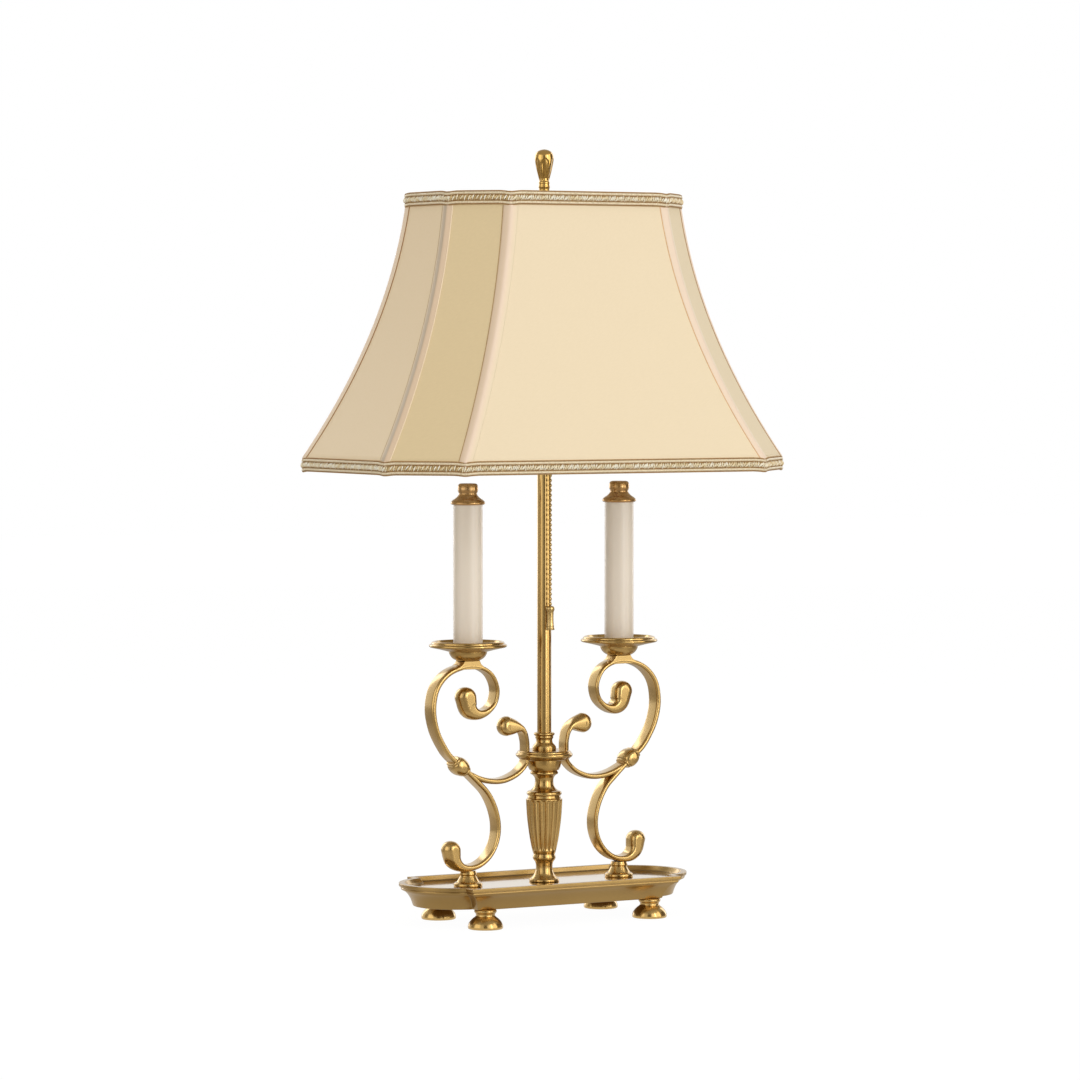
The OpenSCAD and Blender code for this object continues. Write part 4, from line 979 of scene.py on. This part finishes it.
def rib_tape(rib):
    """A bias tape folded over a rib: stitched on its left, pressed flat on its right, with lines along
    its edges as painted shadow or painted highlight.
    """
    kind = rib % 4
    levels = shade_heights(SHADE_Z + 2.0, SHADE_TOP - 2.0, 48)
    beside = (0.4, 1.1, FOLD, 2.3)
    verts, uv = [], []
    for z in levels:
        left, right = tape_edges(rib, z)
        spans = [-left, -0.85 * left, -0.6 * left, *(-s for s in reversed(beside)),
                 *beside, 0.6 * right, 0.85 * right, right]
        for k, s in enumerate(spans + spans[::-1]):
            lift = TAPE_RISE * (1 - (0.5 * (s / left) ** 4 if s < 0 else 0.93 * (s / right) ** 2))
            if k >= len(spans):
                p = rib_place(rib, z, s, TAPE_UNDER)
            elif abs(s) < FOLD:
                p = bend(*(rib_place(rib, z, side, lift) for side in (-FOLD, 0, FOLD)),
                         (s + FOLD) / (2 * FOLD))
            else:
                p = rib_place(rib, z, s, lift)
            verts.append((p.x, p.y, z))
            uv.append((s * MM, z * MM))
    obj = mesh_object("rib_tape_%d" % rib, verts, capped_faces(len(levels), 2 * len(spans)))
    cloth_uv(obj, uv)
    dress(face_outwards(obj), TAPES[kind], "silk", body=SHADE)
    # Edge lines: darker ones as painted shadow on the left, and on the right of the fourth kind; a pale
    # one on the right of end ribs as painted highlight.
    seams = [("left", 0.2, 0.36, SEAM_SHADOW_THREADS[kind])]
    if kind == 3:
        seams.append(("right", 0.3, 0.5, SEAM_SHADOW_THREADS[kind]))
    if kind == 0:
        seams.append(("right", -0.5, 0.5, SEAM_HIGHLIGHT_LINE))
    for side, past, radius, painted_edge_line in seams:
        path = []
        for z in levels:
            left, right = tape_edges(rib, z)
            p = rib_place(rib, z, -left - past if side == "left" else right + past, SEAM_LIFT)
            path.append((p.x, p.y, z))
        seam = merged("rib_seam_%d_%s" % (rib, side), [tube(path, radius, sides=6)])
        dress(seam, painted_edge_line, "silk", body=SHADE)


for rib_number in range(8):
    rib_tape(rib_number)

# ---- Braid trims ----

TRIM_DIP = 0.9
DIP_REACH = 6.0
TRIM_GAP = 0.1
PLAIT_PITCH = 1.8


def trim_loop(z, grow):
    """The way round a trim at a height, which dips a little at the shade's corners."""
    corners = shade_corners(z, TRIM_GAP + grow)
    out = []
    for x, y in rounded_loop(corners, 5.0, 40, arc=8):
        near = min(hypot(x - cx, y - cy) for cx, cy in corners)
        out.append((x, y, z - TRIM_DIP * exp(-(near / DIP_REACH) ** 2)))
    return out


def lengths(loop):
    """How far it is along a closed loop to each of its points, and all the way round."""
    run = [0.0]
    for a, b in zip(loop, loop[1:] + loop[:1]):
        run.append(run[-1] + dist(a, b))
    return run


def walk(loop, count):
    """Evenly spaced points round a closed loop, each with its outward direction."""
    run = lengths(loop)
    places = []
    i = 0
    for k in range(count):
        s = run[-1] * k / count
        while run[i + 1] < s:
            i += 1
        a, b = Vector(loop[i]), Vector(loop[(i + 1) % len(loop)])
        d = (b - a).normalized()
        spot = a.lerp(b, (s - run[i]) / (run[i + 1] - run[i]))
        places.append((spot, Vector((d.y, -d.x, 0)).normalized()))
    return places


def plait(loop):
    """A plait of short slanted threads along a loop: those painted with glints, and those under them in
    painted shade.
    """
    count = 8 * round(lengths(loop)[-1] / PLAIT_PITCH / 8)
    painted_glints, under = [], []
    for k, (p, out) in enumerate(walk(loop, 2 * count)):
        along = UP.cross(out)
        over = k % 2 == 0
        # Corner sections get fewer glinting strokes: painted shade on the corners.
        corner_in_painted_shade = min(abs(out.x), abs(out.y)) > 0.45
        sway = sin(2.4 * k) + 0.6 * sin(0.37 * k)
        lean = (along * (0.5 + 0.28 * sway if over else -0.9) + UP).normalized()
        mid = p + along * 0.3 * sway + UP * 0.35 * sin(5.1 * k)
        reach, thick, rise = (2.3, 0.6, 0.7) if over else (2.6, 0.45, 0.25)
        path = [mid + lean * reach * w + out * (rise - 0.75 * w * w)
                for w in (-1.0, -0.6, 0.0, 0.6, 1.0)]
        radii = [thick * f for f in (0.5, 0.9, 1.0, 0.9, 0.5)]
        takes_glint = k % (4 if corner_in_painted_shade else 2) == 0
        (painted_glints if takes_glint else under).append(tube(path, radii, sides=7))
    return painted_glints, under


def trim_band(name, z0):
    """Gimp braid: a khaki ground, two cords with dark edges and a plait of metal thread, whose strokes
    carry painted glints and painted shade.
    """
    strip = ((0.0, 0.0), (0.7, 0.0), (0.9, 0.3), (0.9, 12.2), (0.7, TRIM_H), (0.0, TRIM_H))
    loops = [trim_loop(z0 + up, push) for push, up in strip]
    ground = mesh_object(name + "_ground", sum(loops, []),
                         grid_faces(len(loops), len(loops[0]), closed=True))
    dress(face_outwards(ground), KHAKI_GROUND, "braid", body=SHADE)
    cords = [closed_tube(walk(trim_loop(z0 + up, 1.1), 700), 1.0, 10, flat=0.75)
             for up in (2.2, 10.3)]
    edges = [closed_tube(walk(trim_loop(z0 + up, 1.0), 500), 0.36, 6)
             for up in (0.65, 3.85, 8.65, 11.85)]
    painted_glints, under = plait(trim_loop(z0 + TRIM_H / 2, 1.3))
    for part, pieces, material in (("_cords", cords, PALE_CORD), ("_lines", edges, BROWN_EDGE),
                                   ("_under", under, METAL_THREAD_PAINTED_SHADE), ("_plait", painted_glints, METAL_THREAD_PAINTED_GLINT)):
        dress(merged(name + part, pieces), material, "braid", body=SHADE)
    return ground


lower_trim = trim_band("lower_trim", SHADE_Z)
trim_band("upper_trim", SHADE_TOP - TRIM_H)
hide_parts("shade_trim")

# ---- Wire frame of the shade ----

WIRE_R = 1.3
WIRE_IN = 2.2


def shade_wires():
    """A ring inside each hem and a rib wire in each corner."""
    inside = -FABRIC_T - WIRE_R
    low, high = SHADE_Z + WIRE_IN, SHADE_TOP - WIRE_IN
    parts = []
    for z in (low, high):
        places = [(Vector((x, y, z)), Vector((x, y, 0)).normalized())
                  for x, y in rounded_loop(shade_corners(z, inside), 4.0, 8)]
        parts.append(closed_tube(places, WIRE_R, 10))
    for rib in range(8):
        path = [(*shade_corners(z, inside - 0.6)[rib], z) for z in shade_heights(low, high, 30)]
        parts.append(tube(path, WIRE_R, sides=10))
    dress(merged("shade_wires", parts), STEEL, "steel", "shade_frame", body=SHADE)


shade_wires()

# ---- Pull chain ----

LAST_BEAD = 38
PENDANT_H = 21.6
PENDANT_Z = CHAIN_TOP - LAST_BEAD * BEAD_PITCH - BEAD_R - 0.05 - PENDANT_H


def bead(z):
    """Points and faces of a bead of the chain."""
    rings, sides = 8, 12
    middle, pole = Vector((0, CHAIN_Y, z)), UP * BEAD_R
    verts = [tuple(middle + pole)]
    for i in range(1, rings):
        a = pi * i / rings
        r = BEAD_R * sin(a)
        verts += section(middle + pole * cos(a), Vector((r, 0, 0)), Vector((0, r, 0)), sides)
    verts.append(tuple(middle - pole))
    faces = [(0, 1 + j, 1 + (j + 1) % sides) for j in range(sides)]
    faces += grid_faces(rings - 1, sides, start=1)
    base = 1 + (rings - 2) * sides
    faces += [(len(verts) - 1, base + (j + 1) % sides, base + j) for j in range(sides)]
    return verts, faces


def chain(body, beads, links):
    """A length of the chain: its beads, and the wire links below so many of them."""
    parts = []
    for i in beads:
        z = CHAIN_TOP - i * BEAD_PITCH
        parts.append(bead(z))
        if i in links:
            parts.append(tube([(0, CHAIN_Y, z - drop) for drop in (1.4, 2.2, 3.0)], 0.5))
    dress(merged(body + "_beads", parts), CHAIN_BRASS, "brass", body, body=body)


chain("switch_chain", range(0, 6), range(0, 5))
chain("pull_chain", range(6, LAST_BEAD + 1), range(6, LAST_BEAD + 1))


PENDANT = outline(
    PENDANT_Z, [(0, 0), (3.2, 0)],
    curve(3, (3.5, 0.1), (3.95, 0.7), (3.9, 1.4), (3.45, 2.1)),
    curve(4, (3.4, 2.8), (3.45, 4), (3.2, 5.6), (3.05, 8), (3, 12), (3.1, 15.4), (3.3, 16.8),
          (3.75, 17.8), (3.9, 19), (3.6, 20.3), (2.8, 21.2), (1.4, 21.55)),
    [(0, PENDANT_H)])
pendant = turned("pendant_turned", PENDANT, (0, CHAIN_Y), segments=40)
dress(pendant, CHAIN_BRASS, "brass", "chain_pendant", body="pull_chain")

# ---- Pieces that keep their construction's shape ----

KEPT = (
    (DARK_BRASS, ("bottom_plate",)),
    (BLACK_PLASTIC, ("cord_bushing", "switch_drum")),
    (STEEL, ("screws", "threaded_pipe", "pipe_nut", "pipe_washer", "candle_rods",
             "switch_bracket", "switch_axle", "shade_spider")),
    (BRASS_TUBE, ("stem_tube", "shade_riser", "left_socket_arm", "right_socket_arm")),
    (BRASS_TURNED, ("cluster_body", "cluster_cover", "chain_guide", "left_socket_cap",
                    "right_socket_cap", "left_socket_shell", "right_socket_shell")),
    (CHAIN_BRASS, ("left_bulb_base", "right_bulb_base")),
    (BULB, ("left_bulb_glass", "right_bulb_glass")),
)
for kept_material, kept_nodes in KEPT:
    for node_name in kept_nodes:
        kept = frame["nodes"][node_name].data.materials
        kept.clear()
        kept.append(kept_material)

# ---- Camera and light ----


def camera():
    """The view that the reference was taken from, as a fitted pinhole camera."""
    swing, distance, height = radians(30.2254), 4.25481, 0.51222
    heading, pitch = radians(30.175), radians(2.3394)
    data = bpy.data.cameras.new("camera")
    data.sensor_width = 36
    data.lens = 159.148
    data.clip_start, data.clip_end = 0.05, 50
    cam = add_object("camera", data)
    spot = Vector((-distance * sin(swing), -distance * cos(swing), height))
    aim = Euler((radians(90) - pitch, 0, -heading))
    cam.matrix_world = Matrix.LocRotScale(spot, aim, None)
    bpy.context.scene.camera = cam


camera()


def area_light(name, azimuth, distance, height, size, power, tint=(1, 1, 1), tilt=0):
    """An upright soft box facing the lamp; azimuth 0 is in front (-Y), 90 on the right (+X)."""
    data = bpy.data.lights.new(name, "AREA")
    data.shape = "RECTANGLE"
    data.size, data.size_y = size
    data.energy = power
    data.color = tint
    light = add_object(name, data)
    a = radians(azimuth)
    light.location = (distance * sin(a), -distance * cos(a), height)
    light.rotation_euler = (radians(90 - tilt), 0, a)


DAYLIGHT = (1.0, 0.985, 0.96)
area_light("key", 13, 2.6, 1.12, (2.3, 2.2), 17.5, DAYLIGHT)
area_light("key_strip", 12, 2.5, 1.12, (0.16, 2.2), 8.5, DAYLIGHT)
area_light("left", -86, 2.8, 1.12, (2.0, 2.2), 11, (1.0, 0.93, 0.82))
area_light("rim_left", -174, 2.8, 1.12, (0.7, 2.2), 11)
area_light("rim_right", 112, 2.8, 1.12, (0.6, 2.2), 7)
area_light("top", 10, 0.4, 2.7, (1.6, 1.6), 9, tilt=81)

# ---- Cards, floor and background ----


def set_piece(name, corners, material):
    """A flat piece of the set, with four corners in metres to each face."""
    mesh = bpy.data.meshes.new(name)
    mesh.from_pydata(corners, [], [tuple(range(k, k + 4)) for k in range(0, len(corners), 4)])
    mesh.materials.append(material)
    obj = add_object(name, mesh)
    return obj


def card(name, corners, tone):
    """A toned card that only polished metal sees."""
    material, _, _ = new_material(name, Base_Color=(0, 0, 0, 1), Emission_Color=(*tone, 1),
                                  Emission_Strength=1.0)
    obj = set_piece(name, corners, material)
    obj.visible_camera = False
    obj.visible_diffuse = False
    obj.visible_shadow = False


def flag(name, azimuth, width, tone, distance=3.4):
    """A tall card that stands beside the set; its width is an angle seen from the lamp."""
    a = radians(azimuth)
    half = distance * tan(radians(width) / 2)
    middle = Vector((sin(a), -cos(a), 0)) * distance
    across = Vector((cos(a), sin(a), 0)) * half
    left, right = middle - across, middle + across
    low, high = UP * -0.6, UP * 2.4
    card(name, [tuple(p) for p in (left + low, right + low, right + high, left + high)], tone)


flag("flag_right", 75, 54, (0.16, 0.14, 0.12))
flag("flag_camera", -31, 22, (0.12, 0.1, 0.08))
flag("flag_left", -124, 28, (0.4, 0.37, 0.33))
flag("shine_strip", 45, 14, (2.7, 2.5, 2.1), distance=2.2)


def ring_card(name, inner, outer, height, tone):
    """A toned ring of card that lies level round the lamp."""
    corners = []
    for _, a, b in in_ring(angles(24)):
        for radius, angle in ((inner, a), (outer, a), (outer, b), (inner, b)):
            corners.append((radius * cos(angle), radius * sin(angle), height))
    card(name, corners, tone)


ring_card("floor_card_near", 0.0, 0.28, 0.002, (0.66, 0.62, 0.56))
ring_card("floor_card_mid", 0.28, 0.6, 0.002, (0.44, 0.4, 0.35))
ring_card("floor_card_far", 0.6, 6.0, 0.002, (0.3, 0.27, 0.23))
ring_card("ceiling_card", 0.0, 3.2, 2.42, (0.45, 0.42, 0.38))


def seen_as_background(tree):
    """1 for the rays of the camera, of polished metal and of glass."""
    rays = add(tree, "LightPath").outputs
    shiny = arithmetic(tree, "MAXIMUM", rays["Is Camera Ray"], rays["Is Glossy Ray"])
    return arithmetic(tree, "MAXIMUM", shiny, rays["Is Transmission Ray"])


def blend(tree, share, first, second, output):
    """Sends a mix of two shaders to the output node, with this share of the second."""
    mix = add(tree, "MixShader", Fac=share)
    put(mix.inputs[1], first)
    put(mix.inputs[2], second)
    fill(tree.nodes[output], Surface=mix.outputs["Shader"])


def floor():
    """A white floor that keeps the lamp's shadow and otherwise looks like the background."""
    material, tree, bsdf = new_material("floor_white", Base_Color=(0.8, 0.8, 0.8, 1),
                                        Roughness=0.9)
    glow = add(tree, "Emission", Color=(1, 1, 1, 1), Strength=1.035)
    share = arithmetic(tree, "MULTIPLY", seen_as_background(tree), 0.94)
    blend(tree, share, bsdf.outputs["BSDF"], glow.outputs["Emission"], "Material Output")
    reach = 8.0
    set_piece("floor", [(x * reach, y * reach, 0) for x, y in ((-1, -1), (1, -1), (1, 1), (-1, 1))],
              material)


floor()


def world():
    """A pale studio that looks white behind the lamp."""
    studio = bpy.data.worlds.new("studio")
    studio.use_nodes = True
    bpy.context.scene.world = studio
    tree = studio.node_tree
    room = fill(tree.nodes["Background"], Color=(0.96, 0.95, 0.93, 1), Strength=0.58)
    white = add(tree, "Background", Color=(1, 1, 1, 1), Strength=1.0)
    blend(tree, seen_as_background(tree), room.outputs["Background"],
          white.outputs["Background"], "World Output")


world()
bpy.context.scene.view_settings.view_transform = "Standard"
